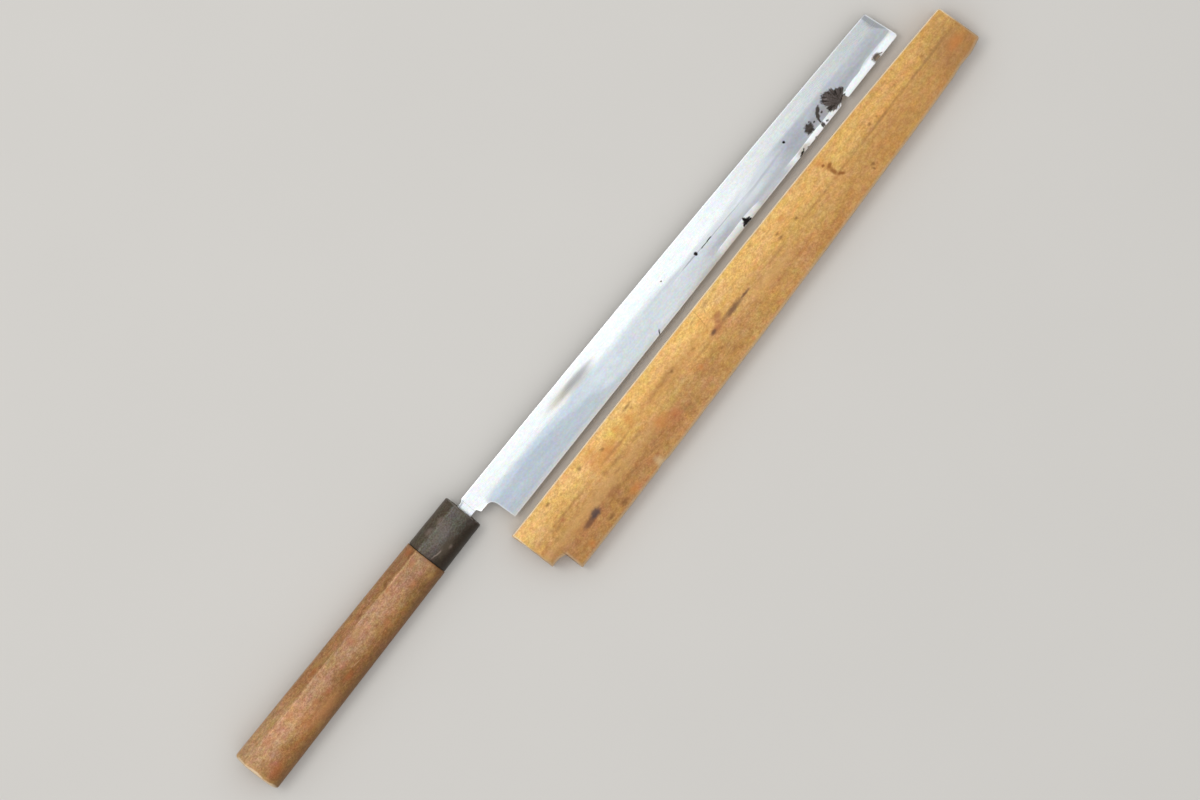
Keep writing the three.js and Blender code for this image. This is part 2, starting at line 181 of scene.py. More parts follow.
class StageSettings(bpy.types.PropertyGroup):
    """View, floor and light."""

    centre_x: length("View centre x", 63.6, "Middle of the view ahead of the heel")
    centre_y: length("View centre y", 4.13, "Middle of the view above the edge")
    view_height: length("View height", 2200, "Camera above the face of the blade")
    view_width: length("View width", 529.4, "Width of the view at the face of the blade")
    view_turn: angle("View turn", -50.24, "Turn of the camera about the vertical")
    floor_colour: colour("Floor", 214, 212, 208, "Plain pale floor")


def in_millimetres(settings):
    """Values of a property group, with lengths in millimetres."""
    values = {}
    for prop in settings.bl_rna.properties:
        if prop.identifier in ("rna_type", "name"):
            continue
        value = getattr(settings, prop.identifier)
        if prop.type == "FLOAT" and prop.unit == "LENGTH":
            value /= MM
        values[prop.identifier] = value
    return SimpleNamespace(**values)


def read_settings(scene):
    """Values for the blade, the handle and the sheath."""
    return [in_millimetres(group) for group in (scene.knife_blade, scene.knife_handle, scene.knife_sheath)]


# Numbers and colours


def lerp(start, end, share):
    return start + (end - start) * share


def part_way(low, high, value):
    """Share of the way from low to high, from 0 to 1."""
    return np.clip((value - low) / (high - low), 0, 1)


def smoothstep(low, high, value):
    share = part_way(low, high, value)
    return share * share * (3 - 2 * share)


def rises(x, steps):
    """Sum of smooth rises, each with its height, start and end."""
    return sum(height * smoothstep(start, end, x) for height, start, end in steps)


def hump(x, middle, half, height):
    return height * np.exp(-(((x - middle) / half) ** 2))


def ripple(x, height, wavelength, phase=0):
    """Irregular smooth wave of about a height, from three waves of unlike lengths."""
    turns = 2 * math.pi * x / wavelength
    waves = [(1, 0.5), (0.618, 0.3), (0.371, 0.2)]
    return height * sum(share * np.sin(turns / ratio + phase * (3 + 7 * ratio)) for ratio, share in waves)


def past_line(distance, softness):
    """How far a place lies past a line, with a soft bend at the line."""
    return 0.5 * (distance + np.sqrt(distance * distance + softness * softness))


def rounding(distance, radius):
    """How far a rounded border lies below its face, at a distance from the border."""
    inside = np.clip(radius - distance, 0, radius)
    return radius - np.sqrt(np.maximum(radius * radius - inside * inside, 0))


def turned_back(x, y, turn):
    """Place in axes that are turned by an angle."""
    c, s = math.cos(turn), math.sin(turn)
    return x * c + y * s, y * c - x * s


def merged(runs, digits=3):
    """Places of several runs in order, each once."""
    return np.unique(np.round(np.concatenate(runs), digits))


def dimmed(tint, share):
    return [channel * share for channel in tint[:3]]


def mixed(a, b, share):
    return [lerp(p, q, share) for p, q in zip(a[:3], b[:3])]


# Meshes

CREASE = math.radians(32)


class Place:
    """Frame of a group of pieces, from an origin in millimetres from the heel and a turn about Z."""

    def __init__(self, x=0, y=0, turn=0):
        self.origin = HEEL + Vector((x * MM, y * MM, 0))
        self.turn = turn

    def to_row(self, points):
        c, s = math.cos(self.turn), math.sin(self.turn)
        turned = points @ np.array(((c, s, 0), (-s, c, 0), (0, 0, 1)))
        return turned * MM + np.array(self.origin)


def quads(grid):
    """Faces of a grid of point numbers."""
    corners = (grid[:-1, :-1], grid[1:, :-1], grid[1:, 1:], grid[:-1, 1:])
    return np.stack(corners, axis=-1).reshape(-1, 4)


def border(grid):
    """Values round the rim of a grid, in order."""
    return np.concatenate((grid[:, 0], grid[-1, 1:], grid[-2::-1, -1], grid[0, -2:0:-1]))


def slab(x, y, top, bottom):
    """Closed slab over a plan grid, with rows along the piece and columns from spine side to edge side."""
    points = [np.stack((x, y, z), axis=-1).reshape(-1, 3) for z in (top, bottom)]
    above = np.arange(x.size).reshape(x.shape)
    rim = border(above)
    following = np.roll(rim, -1)
    sides = np.stack((rim, following, following + x.size, rim + x.size), axis=-1)
    return np.vstack(points), np.vstack((quads(above)[:, ::-1], quads(above + x.size), sides))


def shell(rings, closed_loop=False):
    """Closed skin through rings of one count: its ends are capped, or it closes on itself."""
    numbers = np.arange(len(rings) * len(rings[0])).reshape(len(rings), -1)
    grid = np.hstack((numbers, numbers[:, :1]))
    if closed_loop:
        return np.vstack(rings), quads(np.vstack((grid, grid[:1])))
    return np.vstack(rings), [*quads(grid), numbers[0], numbers[-1]]


def ring_of(x, y, z):
    """Points of a ring at one place along the piece."""
    return np.stack((np.full_like(y, x), y, z), axis=-1)


def border_distance(x, y, rim=None):
    """Distance in plan of each point of a grid from a closed line, or else from the rim of the grid."""
    if rim is None:
        rim = np.stack((border(x), border(y)), axis=-1)
    runs = np.roll(rim, -1, axis=0) - rim
    squares = np.maximum((runs**2).sum(axis=1), 1e-12)
    points = np.stack((x.ravel(), y.ravel()), axis=-1)
    nearest = np.full(len(points), np.inf)
    for start, run, square in zip(rim, runs, squares):
        offset = points - start
        share = np.clip(offset @ run / square, 0, 1)
        gap = offset - share[:, None] * run
        nearest = np.minimum(nearest, (gap**2).sum(axis=1))
    return np.sqrt(nearest).reshape(x.shape)


def add_piece(name, place, shape, material, body, node):
    """Adds a piece in place of a CAD node, from its points in millimetres, its faces and any shares."""
    points, faces, *shares = shape
    mesh = bpy.data.meshes.new(name)
    mesh.from_pydata(place.to_row(points).tolist(), [], [list(map(int, face)) for face in faces])
    skin = bmesh.new()
    skin.from_mesh(mesh)
    bmesh.ops.recalc_face_normals(skin, faces=skin.faces)
    skin.to_mesh(mesh)
    skin.free()
    mesh.shade_smooth()
    mesh.set_sharp_from_angle(angle=CREASE)
    mesh.materials.append(material)
    for values in shares:
        layer = mesh.attributes.new("shares", "FLOAT_VECTOR", "POINT")
        layer.data.foreach_set("vector", np.asarray(values, dtype=np.float32).ravel())
    piece = bpy.data.objects.new(name, mesh)
    bpy.context.scene.collection.objects.link(piece)
    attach(piece, body)
    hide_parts(node)


# Finishes


class Value:
    """A number that varies over a surface. Arithmetic on it adds nodes."""

    def __init__(self, nodes, socket):
        self.nodes, self.socket = nodes, socket

    def __add__(self, other):
        return self.nodes.math("ADD", self, other)

    def __sub__(self, other):
        return self.nodes.math("SUBTRACT", self, other)

    def __rsub__(self, other):
        return self.nodes.math("SUBTRACT", other, self)

    def __mul__(self, other):
        return self.nodes.math("MULTIPLY", self, other)

    def __truediv__(self, other):
        return self.nodes.math("DIVIDE", self, other)

    def __abs__(self):
        return self.nodes.math("ABSOLUTE", self)


class Nodes:
    """A node tree that is built by short calls."""

    def __init__(self, tree):
        self.tree = tree

    def fill(self, node, sockets):
        """Puts values or links on the sockets of a node."""
        for name, value in sockets.items():
            if isinstance(value, Value):
                value = value.socket
            if isinstance(value, bpy.types.NodeSocket):
                self.tree.links.new(value, node.inputs[name])
            else:
                node.inputs[name].default_value = value

    def add(self, kind, sockets, **settings):
        """Outputs of a new node with its settings, and with values or links on its sockets."""
        node = self.tree.nodes.new(kind)
        for name, value in settings.items():
            setattr(node, name, value)
        self.fill(node, sockets)
        return node.outputs

    def math(self, operation, a, b=0, clamp=False):
        return Value(self, self.add("ShaderNodeMath", {0: a, 1: b}, operation=operation, use_clamp=clamp)[0])

    def highest(self, values):
        return reduce(lambda a, b: self.math("MAXIMUM", a, b), values)

    def vector(self, operation, *parts, output="Vector"):
        return self.add("ShaderNodeVectorMath", dict(enumerate(parts)), operation=operation)[output]

    def measure(self, operation, *parts):
        """Number that vector arithmetic gives, such as a length."""
        return Value(self, self.vector(operation, *parts, output="Value"))

    def split(self, vector):
        """The three parts of a vector."""
        return [Value(self, part) for part in self.add("ShaderNodeSeparateXYZ", {0: vector})]

    def join(self, parts):
        return self.add("ShaderNodeCombineXYZ", parts)[0]

    def ramp(self, value, stops):
        """Colour that follows a value from 0 to 1 through (place, colour) stops."""
        output = self.add("ShaderNodeValToRGB", {0: value})[0]
        elements = output.node.color_ramp.elements
        while len(elements) < len(stops):
            elements.new(0.5)
        for element, (place, tint) in zip(elements, stops):
            element.position = place
            element.color = (*tint[:3], 1)
        return output

    def tints(self, value, stops):
        """Colour that follows a value through stops in display values from 0 to 255."""
        return self.ramp(value, [(place, linear(*tint)) for place, tint in stops])


class Finish(Nodes):
    """A node material in millimetres of the place of its piece, with a tone built up in coats."""

    NOISE_RANGE = (0.3, 0.7)
    SHIFT_STEPS = (1, 0.7, 1.3)
    RAY_WANDER = 0.12

    def __init__(self, name, place):
        self.material = bpy.data.materials.new(name)
        self.material.use_nodes = True
        super().__init__(self.material.node_tree)
        self.tone = None
        coordinates = self.add("ShaderNodeTexCoord", {})
        self.normal = self.split(coordinates["Normal"])
        sockets = {
            "Vector": coordinates["Object"],
            "Location": tuple(place.origin),
            "Rotation": (0, 0, place.turn),
            "Scale": (MM, MM, MM),
        }
        self.position = self.add("ShaderNodeMapping", sockets, vector_type="TEXTURE")[0]
        self.x, self.y, _ = self.split(self.position)

    def done(self, **sockets):
        """The material, with its tone and the named values on its shader, underscores for blanks."""
        named = {name.replace("_", " "): value for name, value in sockets.items()}
        self.fill(self.tree.nodes["Principled BSDF"], {"Base Color": self.tone, **named})
        return self.material

    def slanted(self, slope):
        """Place across the piece plus a slope times the place along it."""
        return self.measure("DOT_PRODUCT", self.position, (slope, 1, 0))

    def shares(self):
        """The three shares that the mesh holds at each point."""
        return self.split(self.add("ShaderNodeAttribute", {}, attribute_name="shares")["Vector"])

    def map_range(self, value, low, high, start, end, **settings):
        sockets = {"Value": value, "From Min": low, "From Max": high, "To Min": start, "To Max": end}
        return self.add("ShaderNodeMapRange", sockets, **settings)[0]

    def spread(self, value, low, high, start=0, end=1):
        """Smooth change from start to end while the value goes from low to high."""
        return Value(self, self.map_range(value, low, high, start, end, interpolation_type="SMOOTHSTEP"))

    def swing(self, noise, start, end):
        """Smooth change from start to end with a noise."""
        return self.spread(noise, *self.NOISE_RANGE, start, end)

    def noises(self, scale, stretch=(1, 1, 1), detail=3, roughness=0.5, distortion=0, shift=0, vector=None):
        """Grey and coloured noise with so many lumps to the millimetre, times the stretch along each axis."""
        placing = {
            "Vector": vector or self.position,
            "Location": [shift * step for step in self.SHIFT_STEPS],
            "Scale": stretch,
        }
        sockets = {
            "Vector": self.add("ShaderNodeMapping", placing)[0],
            "Scale": scale,
            "Detail": detail,
            "Roughness": roughness,
            "Distortion": distortion,
        }
        return self.add("ShaderNodeTexNoise", sockets)

    def noise(self, *values, **named):
        return Value(self, self.noises(*values, **named)[0])

    def drift(self, *values, **named):
        """Noise along three axes, from -0.5 to 0.5."""
        return self.vector("SUBTRACT", self.noises(*values, **named)[1], (0.5, 0.5, 0.5))

    def rays(self, x, y, count):
        """Noise from -0.5 to 0.5 that runs outward from a point like the spokes of a wheel."""
        level = self.vector("MULTIPLY", self.vector("SUBTRACT", self.position, (x, y, 0)), (1, 1, 0))
        lift = self.join({2: self.measure("LENGTH", level) * self.RAY_WANDER})
        radius = count / (2 * math.pi)
        around = self.vector("MULTIPLY_ADD", self.vector("NORMALIZE", level), (radius,) * 3, lift)
        return self.noise(1, detail=4, roughness=0.7, vector=around) - 0.5

    def ragged(self, amount, scale, detail=3):
        """The position, shaken by noise so that the borders of marks are uneven."""
        return self.vector("MULTIPLY_ADD", self.drift(scale, detail=detail), (amount,) * 3, self.position)

    def blend(self, share, a, b, mode="MIX"):
        """Colour b laid over colour a by a share."""
        a, b = [tint if isinstance(tint, bpy.types.NodeSocket) else (*tint[:3], 1) for tint in (a, b)]
        return self.add("ShaderNodeMix", {0: share, 6: a, 7: b}, data_type="RGBA", blend_type=mode)[2]

    def shaded(self, base, noise, low, high):
        """Colour whose brightness follows a noise from low to high."""
        return self.blend(1, base, self.map_range(noise, *self.NOISE_RANGE, low, high), "MULTIPLY")

    def speckled(self, base, amount, scale, stretch=(1, 1, 1), shift=0):
        """Colour with darker and lighter specks, so many to the millimetre."""
        lumps = self.noise(scale, stretch, roughness=0.75, shift=shift)
        low, high = [[1 + side * amount * share for share in (0.75, 1, 1.25)] for side in (-1, 1)]
        return self.blend(1, base, self.blend(self.swing(lumps, 0, 1), low, high), "MULTIPLY")

    def lay(self, share, tint, mode="MIX"):
        """Lays a colour over the tone by a share."""
        self.tone = self.blend(share, self.tone, tint, mode)

    def shade(self, noise, low, high):
        self.tone = self.shaded(self.tone, noise, low, high)

    def speckle(self, *values, **named):
        self.tone = self.speckled(self.tone, *values, **named)

    def mottle(self, amount, scale, stretch, shift, detail=5):
        """Lets the red, green and blue of the tone each wander by their own amount."""
        drift = self.drift(scale, stretch, detail=detail, roughness=0.65, shift=shift)
        self.tone = self.vector("MULTIPLY", self.tone, self.vector("MULTIPLY_ADD", drift, amount, (1, 1, 1)))

    def mark(self, vector, soft, strength, wobble, x, y, half_x, half_y, turn=0):
        """Share of an oval mark, with its uneven reach, middle, half axes and turn in degrees."""
        inside = self.vector("SUBTRACT", vector, (x, y, 0))
        if turn:
            c, s = math.cos(math.radians(turn)), math.sin(math.radians(turn))
            rows = ((c / half_x, s / half_x, 0), (-s / half_y, c / half_y, 0))
            inside = self.join({i: self.measure("DOT_PRODUCT", inside, row) for i, row in enumerate(rows)})
        else:
            inside = self.vector("MULTIPLY", inside, (1 / half_x, 1 / half_y, 0))
        reach = self.measure("LENGTH", inside)
        if wobble is not None:
            reach = reach + wobble
        return self.spread(reach, 1 - soft, 1 + soft, strength, 0)

    def marks(self, places, vector, soft, strength=1, wobble=None):
        """Share of several marks together, the strongest at each point."""
        return self.highest([self.mark(vector, soft, strength, wobble, *place) for place in places])

    def stain(self, groups, vector, flakes):
        """Lays groups of marks over the tone, and gives the strongest share of them at each point."""
        shares = []
        for tint, soft, strength, uneven, places in groups:
            shares.append(self.marks(places, vector, soft, strength, flakes * uneven))
            self.lay(shares[-1], linear(*tint))
        return self.highest(shares)

    def bump(self, height, millimetres, strength=1):
        """Normal of a surface raised by a height of so many millimetres."""
        sockets = {"Height": height, "Distance": millimetres * MM, "Strength": strength}
        return self.add("ShaderNodeBump", sockets)[0]


class Wood(Finish):
    """Bare wood with its grain along the piece, from the values of a kind of wood."""

    PORE_RANGE = (0.68, 0.8)
    FIBRE_BUMP = (0.03, 0.8)

    def __init__(self, name, place, kind, shift=0):
        super().__init__(name, place)
        self.kind, self.shift = kind, shift
        self.grain, self.fibres, self.clouds, pores = [self.lumps(*values) for values in kind.noises]
        self.pores = self.spread(pores, *self.PORE_RANGE, 0, kind.pore_share)

    def lumps(self, along, across, detail, roughness, distortion, shift):
        return self.noise(1, (along, across, across), detail, roughness, distortion, self.shift + shift)

    def weather(self, dark):
        """Lays the grain, mottling, specks, fibres and pores over the tone."""
        self.shade(self.grain, *self.kind.grain_range)
        for amount, scale, stretch, shift, detail in self.kind.mottles:
            self.mottle(amount, scale, (stretch, 1, 1), self.shift + shift, detail)
        for amount, scale, stretch, shift in self.kind.specks:
            self.speckle(amount, scale, (stretch, 1, 1), self.shift + shift)
        self.shade(self.fibres, *self.kind.fibre_range)
        self.lay(self.pores, dimmed(dark, self.kind.pore_dimming))

    def done(self):
        height = self.fibres + self.pores * -self.kind.pore_depth
        return super().done(
            Roughness=self.swing(self.fibres, *self.kind.roughness),
            Normal=self.bump(height, *self.FIBRE_BUMP),
            Specular_IOR_Level=self.kind.specular,
        )


# Blade

# Each nick in the cutting edge: where it starts, its width, its depth and where in its width it is deepest.
EDGE_NICKS = [
    (102, 1.1, 0.3, 0.6), (142.8, 0.8, 0.2, 0.5), (148.8, 0.7, 0.22, 0.5), (164.6, 2.2, 0.3, 0.5),
    (204.2, 1.6, 0.35, 0.6), (207.9, 0.9, 0.25, 0.6), (213.8, 1, 0.22, 0.5), (220, 0.9, 0.3, 0.5),
    (231.6, 5.1, 2.4, 0.88), (256, 3.4, 0.4, 0.35),
]

# Each group of marks: colour, softness, strength and unevenness, and then its marks,
# each with its middle, half axes and, where it has one, its turn in degrees.
BLADE_SMUDGES_AND_NECK_SHADE = [
    ((205, 198, 180), 0.8, 0.3, 0.9, [(60, 16.3, 11, 0.9)]),
    ((176, 178, 178), 0.9, 0.35, 0.9, [(58, 20.4, 16, 2)]),
    ((152, 147, 132), 0.8, 0.75, 0.7, [(54, 18.5, 8, 1.6)]),
    ((118, 118, 120), 0.75, 0.6, 0.7, [(64, 17.5, 8.4, 2.2)]),
    ((116, 117, 120), 0.5, 0.4, 0.7, [(63.8, 18.5, 8.4, 1.5)]),
    ((172, 177, 183), 0.8, 0.6, 0.9, [(146, 14, 26, 1.2), (172, 14.4, 16, 1.1)]),
    ((225, 231, 237), 0.9, 0.6, 1.2, [(173, 10.6, 10, 2.4, 6)]),
    ((225, 231, 237), 0.9, 0.3, 1.2, [(186, 14.4, 9, 1.3), (67, 11.6, 9, 1.8)]),
    ((158, 164, 172), 0.9, 0.45, 1.2, [(187.5, 7.4, 9, 1.7), (186, 12.3, 12, 0.5, 3)]),
    # Painted shade of a sloped facet on the spine side of the neck.
    ((128, 131, 138), 0.8, 0.8, 0.4, [(-11.5, 21.75, 1.9, 0.55, 6)]),
    ((118, 121, 126), 0.6, 0.6, 0.5, [(152, 12.55, 22, 0.15, -0.4), (135, 12.85, 4.5, 0.25, 1)]),
]
BLADE_RUST = [
    ((196, 186, 166), 0.6, 0.6, 1, [(206.1, 5.9, 3.6, 1.3)]),
    ((150, 146, 145), 0.9, 0.4, 1.4, [(224.6, 10.4, 4.2, 3), (218.5, 10.2, 3, 1.6)]),
    ((92, 79, 66), 0.4, 0.95, 1.2, [(258.1, 7.2, 2.3, 1.4), (260.6, 6.9, 1, 0.25, -25)]),
    ((156, 138, 118), 0.5, 0.75, 1.2, [(258.3, 6.45, 1.4, 0.7)]),
    ((66, 58, 53), 0.3, 0.95, 2.4, [
        (223.4, 12.2, 2, 0.9, 30), (221.6, 10.6, 1.8, 0.9, 55), (220.5, 8.6, 1.8, 0.45, 85),
        (220.2, 6.3, 1.3, 1, 70), (223.9, 10.2, 0.7, 0.5), (222.6, 5.9, 0.7, 0.5), (208.5, 4.9, 0.5, 0.4),
        (216.9, 11.6, 0.5, 0.4), (121.1, 16.9, 0.32, 0.3), (214.1, 4.9, 0.8, 0.3),
    ]),
    ((28, 24, 25), 0.3, 1, 0.7, [
        (140.2, 12.95, 0.88, 0.84), (148.6, 12.62, 1.8, 0.3, 2), (145.6, 12.6, 2.2, 0.2, 1),
        (202.9, 14.6, 0.6, 0.68), (103.3, 3.1, 1.45, 0.2, 47), (165.7, 4.8, 1.8, 1.3), (165.7, 6, 0.8, 1.2),
        (163.9, 4.5, 1, 0.5, 20), (167.5, 5.2, 0.9, 0.4, -10), (167.5, 4.2, 0.9, 0.5),
        (218.5, 9.95, 0.55, 0.4), (204.6, 5.1, 1.1, 0.6, 20), (206.2, 5.7, 0.7, 0.3, 35),
        (203.4, 4.8, 0.6, 0.4),
    ]),
]
RUST_PATCH = [
    (230.8, 11.5, 4.3, 3.4), (235.4, 10.4, 3.2, 1.8, -25), (233.2, 8.4, 3.2, 2.3), (230.1, 8.6, 3.3, 2.6),
]
RUST_BLOB = (215, 9.8, 2.4, 2.2)
PATCH_ROOT = (233, 7.4)
BLOB_ROOT = (215, 9.7)
RUST_TINTS = [(0.28, (34, 30, 28)), (0.47, (68, 62, 58)), (0.62, (95, 87, 85)), (0.78, (128, 120, 118))]

# Tints and brightness along the blade, from the heel at 0 to the tip at 1.
BEVEL_TINTS = [
    (0.05, (194, 205, 218)), (0.2, (201, 213, 223)), (0.36, (214, 222, 227)), (0.52, (215, 222, 228)),
    (0.67, (209, 215, 222)), (0.75, (177, 182, 190)), (0.96, (177, 182, 188)),
]
FLAT_DIMMING = [(0, 0.87), (0.12, 0.91), (0.25, 0.98), (0.55, 1), (0.67, 0.9), (0.8, 0.82), (0.96, 0.74)]
STEEL_BRIGHT = [(161.2, 3.5, 14, 9), (234.6, 7.5, 37.5, 12)]
IRON_GLOOM = [(161, 7.7, 16, 2.1), (206.6, 10.6, 9, 2.6, 6), (243.6, 11, 15, 1.5, 5)]
WORN_EDGE = linear(228, 234, 240)
GLOOM = linear(158, 163, 170)
BLOB_RUST = linear(60, 56, 51)
TIP_GREY = linear(150, 153, 158)
BRIGHT_RIM = linear(240, 243, 246)
FLAT_ROUGHNESS = 0.27
BEVEL_ROUGHNESS = 0.38
RUST_ROUGHNESS = 0.42
CRUST_HEIGHT = 9


class BladeShape:
    """Outline and surfaces of the blade, in millimetres from the heel, with its back at height 0."""

    SPINE_EASE = 0.35
    SIDE_EASE = 0.22
    SIDE_EASE_END = -0.3
    SPINE_CORNER = 0.5
    SPINE_STEPS = np.array((0, 0.04, 0.1, 0.19, 0.3, 0.42, 0.6, 0.8))
    STEEL_START = -6.4
    LAYER_GAP = 0.02
    LEAST_IRON = 0.01
    LEAST_STEEL = 0.05
    WELD_START = 0.5
    LAYER_RISES = ((0.8, 144, 150), (-0.8, 170, 179), (0.8, 228, 246), (0.75, 247.5, 253))
    LAYER_HUMP = (255.6, 4, 0.35)
    LAYER_RIPPLES = ((0.16, 26), (0.08, 9, 2))
    BEVEL_SAG = ((0.45, 25, 50), (3.2, 112, 142), (-3.65, 170, 194))
    BEVEL_START = (-4, 0.4)
    BEVEL_SOFT = 0.7
    BEVEL_FADE = (-3.5, 0.5)
    FLAT_LIFT = 0.02
    GRIND_RIPPLE = (0.02, 31)
    GRIND_SLANT = 0.6
    NICK_RIPPLE = (0.12, 1.3)
    NICK_POWER = 0.8
    HOLLOW_RIMS = (1.6, 2.5)
    HOLLOW_FADE = 10
    SHOULDER_RUN = (-8.6, -7.6)
    SHOULDER_MIDDLE = -5.4
    HEEL_STEPS = (0.15, 0.3, 0.6, 0.9)
    NECK_RAMP = (-10.3, -9.2)
    TANG_END_HALF = 2
    TANG_END_THICKNESS = 2.2
    LEAN_START = 200
    TIP_RUN = 3
    TIP_FACET_RUN = 5.1
    TIP_FACET_SLOPE = 0.264
    TIP_FACET_LIFT = 0.03
    TIP_FACET_SOFT = 0.05
    RIM_WIDTH = (0.15, 0.75)
    RIM_FADE = (-10.5, -8.5)

    def __init__(self, blade, handle):
        self.blade = blade
        self.tang_slope = math.tan(handle.tilt)
        self.tang_front = -handle.front_x
        self.tang_front_y = handle.axis_y

    def edge_y(self, x):
        return self.blade.edge_rise * x / self.blade.edge_length

    def spine_y(self, x):
        share = x / self.blade.edge_length
        return self.blade.heel_height + 4 * self.blade.spine_crown * share * (1 - share)

    def tang_side(self, x, neck, side):
        """Border of the tang, which narrows from the neck to its end."""
        end = -self.blade.tang_end
        end_y = self.tang_front_y + (end - self.tang_front) * self.tang_slope + side * self.TANG_END_HALF
        return lerp(end_y, neck, part_way(end, self.tang_front, x))

    def upper(self, x):
        """Spine side of the outline."""
        side = lerp(self.tang_side(x, self.blade.neck_high, 1), self.spine_y(x), part_way(*self.NECK_RAMP, x))
        to_tip = self.blade.edge_length - x
        return side - rounding(to_tip, self.SPINE_CORNER) * (to_tip < self.SPINE_CORNER)

    def lower(self, x):
        """Edge side of the outline, with the heel, the nicks and the rounded tip."""
        blade = self.blade
        shoulder = blade.heel_line + blade.choil_radius
        side = lerp(self.tang_side(x, blade.neck_low, -1), shoulder, part_way(*self.SHOULDER_RUN, x))
        past = np.clip(x + blade.heel_slant + blade.choil_radius, 0, blade.choil_radius)
        choil = blade.heel_line + np.sqrt(np.maximum(blade.choil_radius**2 - past**2, 0))
        side = np.where(past > 0, choil, side)
        side = np.where(x > -blade.heel_slant, blade.heel_line * np.clip(-x / blade.heel_slant, 0, 1), side)
        edge = self.edge_y(x) + self.nicks(x) + rounding(blade.edge_length - x, blade.tip_round)
        return np.where(x >= 0, edge, side)

    def nicks(self, x):
        """Height of the missing metal along the edge."""
        missing = np.zeros_like(x)
        for start, width, depth, deepest in EDGE_NICKS:
            share = np.clip((x - start) / width, 0, 1)
            rise = np.where(share < deepest, share / deepest, (1 - share) / (1 - deepest))
            uneven = 1 + ripple(x, *self.NICK_RIPPLE, start)
            missing = np.maximum(missing, depth * np.clip(rise, 0, 1) ** self.NICK_POWER * uneven)
        return missing

    def layer_line(self, x):
        """Where the iron ends and the hard steel shows."""
        band = self.blade.steel_band + rises(x, self.LAYER_RISES) + hump(x, *self.LAYER_HUMP)
        for wave in self.LAYER_RIPPLES:
            band = band + ripple(x, *wave)
        return np.maximum(self.edge_y(np.maximum(x, 0)) + band, self.lower(x) + self.LAYER_GAP)

    def bevel_line(self, x):
        """Line between the flat and the bevel, which sags where the blade was ground most."""
        flat = lerp(self.blade.heel_flat, self.blade.tip_flat, x / self.blade.edge_length)
        return self.spine_y(x) - flat - rises(x, self.BEVEL_SAG)

    def flat_height(self, x):
        blade, shoulder = self.blade, -self.blade.shoulder_length
        blade_height = lerp(blade.heel_thickness, blade.tip_thickness, x / blade.edge_length)
        tang_share = part_way(-blade.tang_end, shoulder, x)
        tang_thickness = lerp(self.TANG_END_THICKNESS, blade.heel_thickness, tang_share)
        return np.where(x < shoulder, blade.heel_thickness / 2 + tang_thickness / 2, blade_height)

    def ground(self, x, y):
        """Height of the front without the facet at the tip: the flat and the bevel below it."""
        flat, line = self.flat_height(x), self.bevel_line(x)
        reach = line - self.edge_y(x)
        slope = (flat - self.blade.edge_thickness) / reach
        below = line - y
        softness = math.sqrt(2) * self.blade.bevel_ease / slope
        fall = slope * past_line(below, softness) * smoothstep(*self.BEVEL_START, x)
        arch = np.sin(np.clip(below / reach, 0, 1) * math.pi)
        wave = ripple(x + self.GRIND_SLANT * y, *self.GRIND_RIPPLE) * arch
        return np.minimum(flat, flat - fall + self.FLAT_LIFT) + wave

    def tip_plane(self, x, y):
        """Height of the plane that cuts the facet at the tip."""
        past = np.clip(self.lean(x, y) - (self.blade.edge_length - self.TIP_FACET_RUN), 0, None)
        return self.flat_height(x) + self.TIP_FACET_LIFT - self.TIP_FACET_SLOPE * past

    def front(self, x, y):
        height = np.minimum(self.ground(x, y), self.tip_plane(x, y))
        return np.maximum(height, self.blade.edge_thickness)

    def back(self, x, y):
        """Height of the hollow in the back."""
        edge_rim, spine_rim = self.HOLLOW_RIMS
        share = part_way(self.edge_y(x) + edge_rim, self.spine_y(x) - spine_rim, y)
        from_heel = (x - self.HOLLOW_FADE) / self.HOLLOW_FADE
        from_tip = (self.blade.edge_length - self.HOLLOW_FADE / 2 - x) / self.HOLLOW_FADE
        fade = smoothstep(0, 1, np.minimum(from_heel, from_tip))
        return self.blade.hollow_depth * fade * 4 * share * (1 - share)

    def layer_height(self, x):
        """Height of the weld between iron and steel."""
        ahead = np.maximum(x, self.WELD_START)
        return self.front(ahead, self.layer_line(ahead))

    def lean(self, x, y):
        """Place along the blade with the lean of its end."""
        share = part_way(self.edge_y(x), self.spine_y(x), y)
        return x - self.blade.tip_lean * share * part_way(self.LEAN_START, self.blade.edge_length, x)

    def stations(self, start):
        """Places along the blade, close together where the outline turns."""
        blade = self.blade
        choil = blade.heel_slant + blade.choil_radius
        tip = blade.edge_length - self.TIP_RUN
        quarter = math.pi / 2
        runs = [
            np.linspace(-blade.tang_end, -blade.shoulder_length - 1, 24),
            np.linspace(self.NECK_RAMP[0] - 0.1, self.NECK_RAMP[1] + 0.1, 9),
            np.linspace(*self.SHOULDER_RUN, 5),
            [self.STEEL_START - 0.02, self.STEEL_START],
            np.linspace(self.SHOULDER_MIDDLE, -choil - 0.2, 5),
            -blade.heel_slant - blade.choil_radius * np.cos(np.linspace(0, quarter, 12)),
            np.linspace(-blade.heel_slant, 0, 16),
            self.HEEL_STEPS,
            np.linspace(0, tip, 190),
            tip + self.TIP_RUN * np.sin(np.linspace(0, quarter, 24)),
        ]
        for nick, width, _, deepest in EDGE_NICKS:
            runs.append(np.linspace(nick - 0.2, nick + width + 0.2, 8 + int(width * 6)))
            runs.append([nick + width * deepest])
        places = merged(runs)
        return places[places >= start]

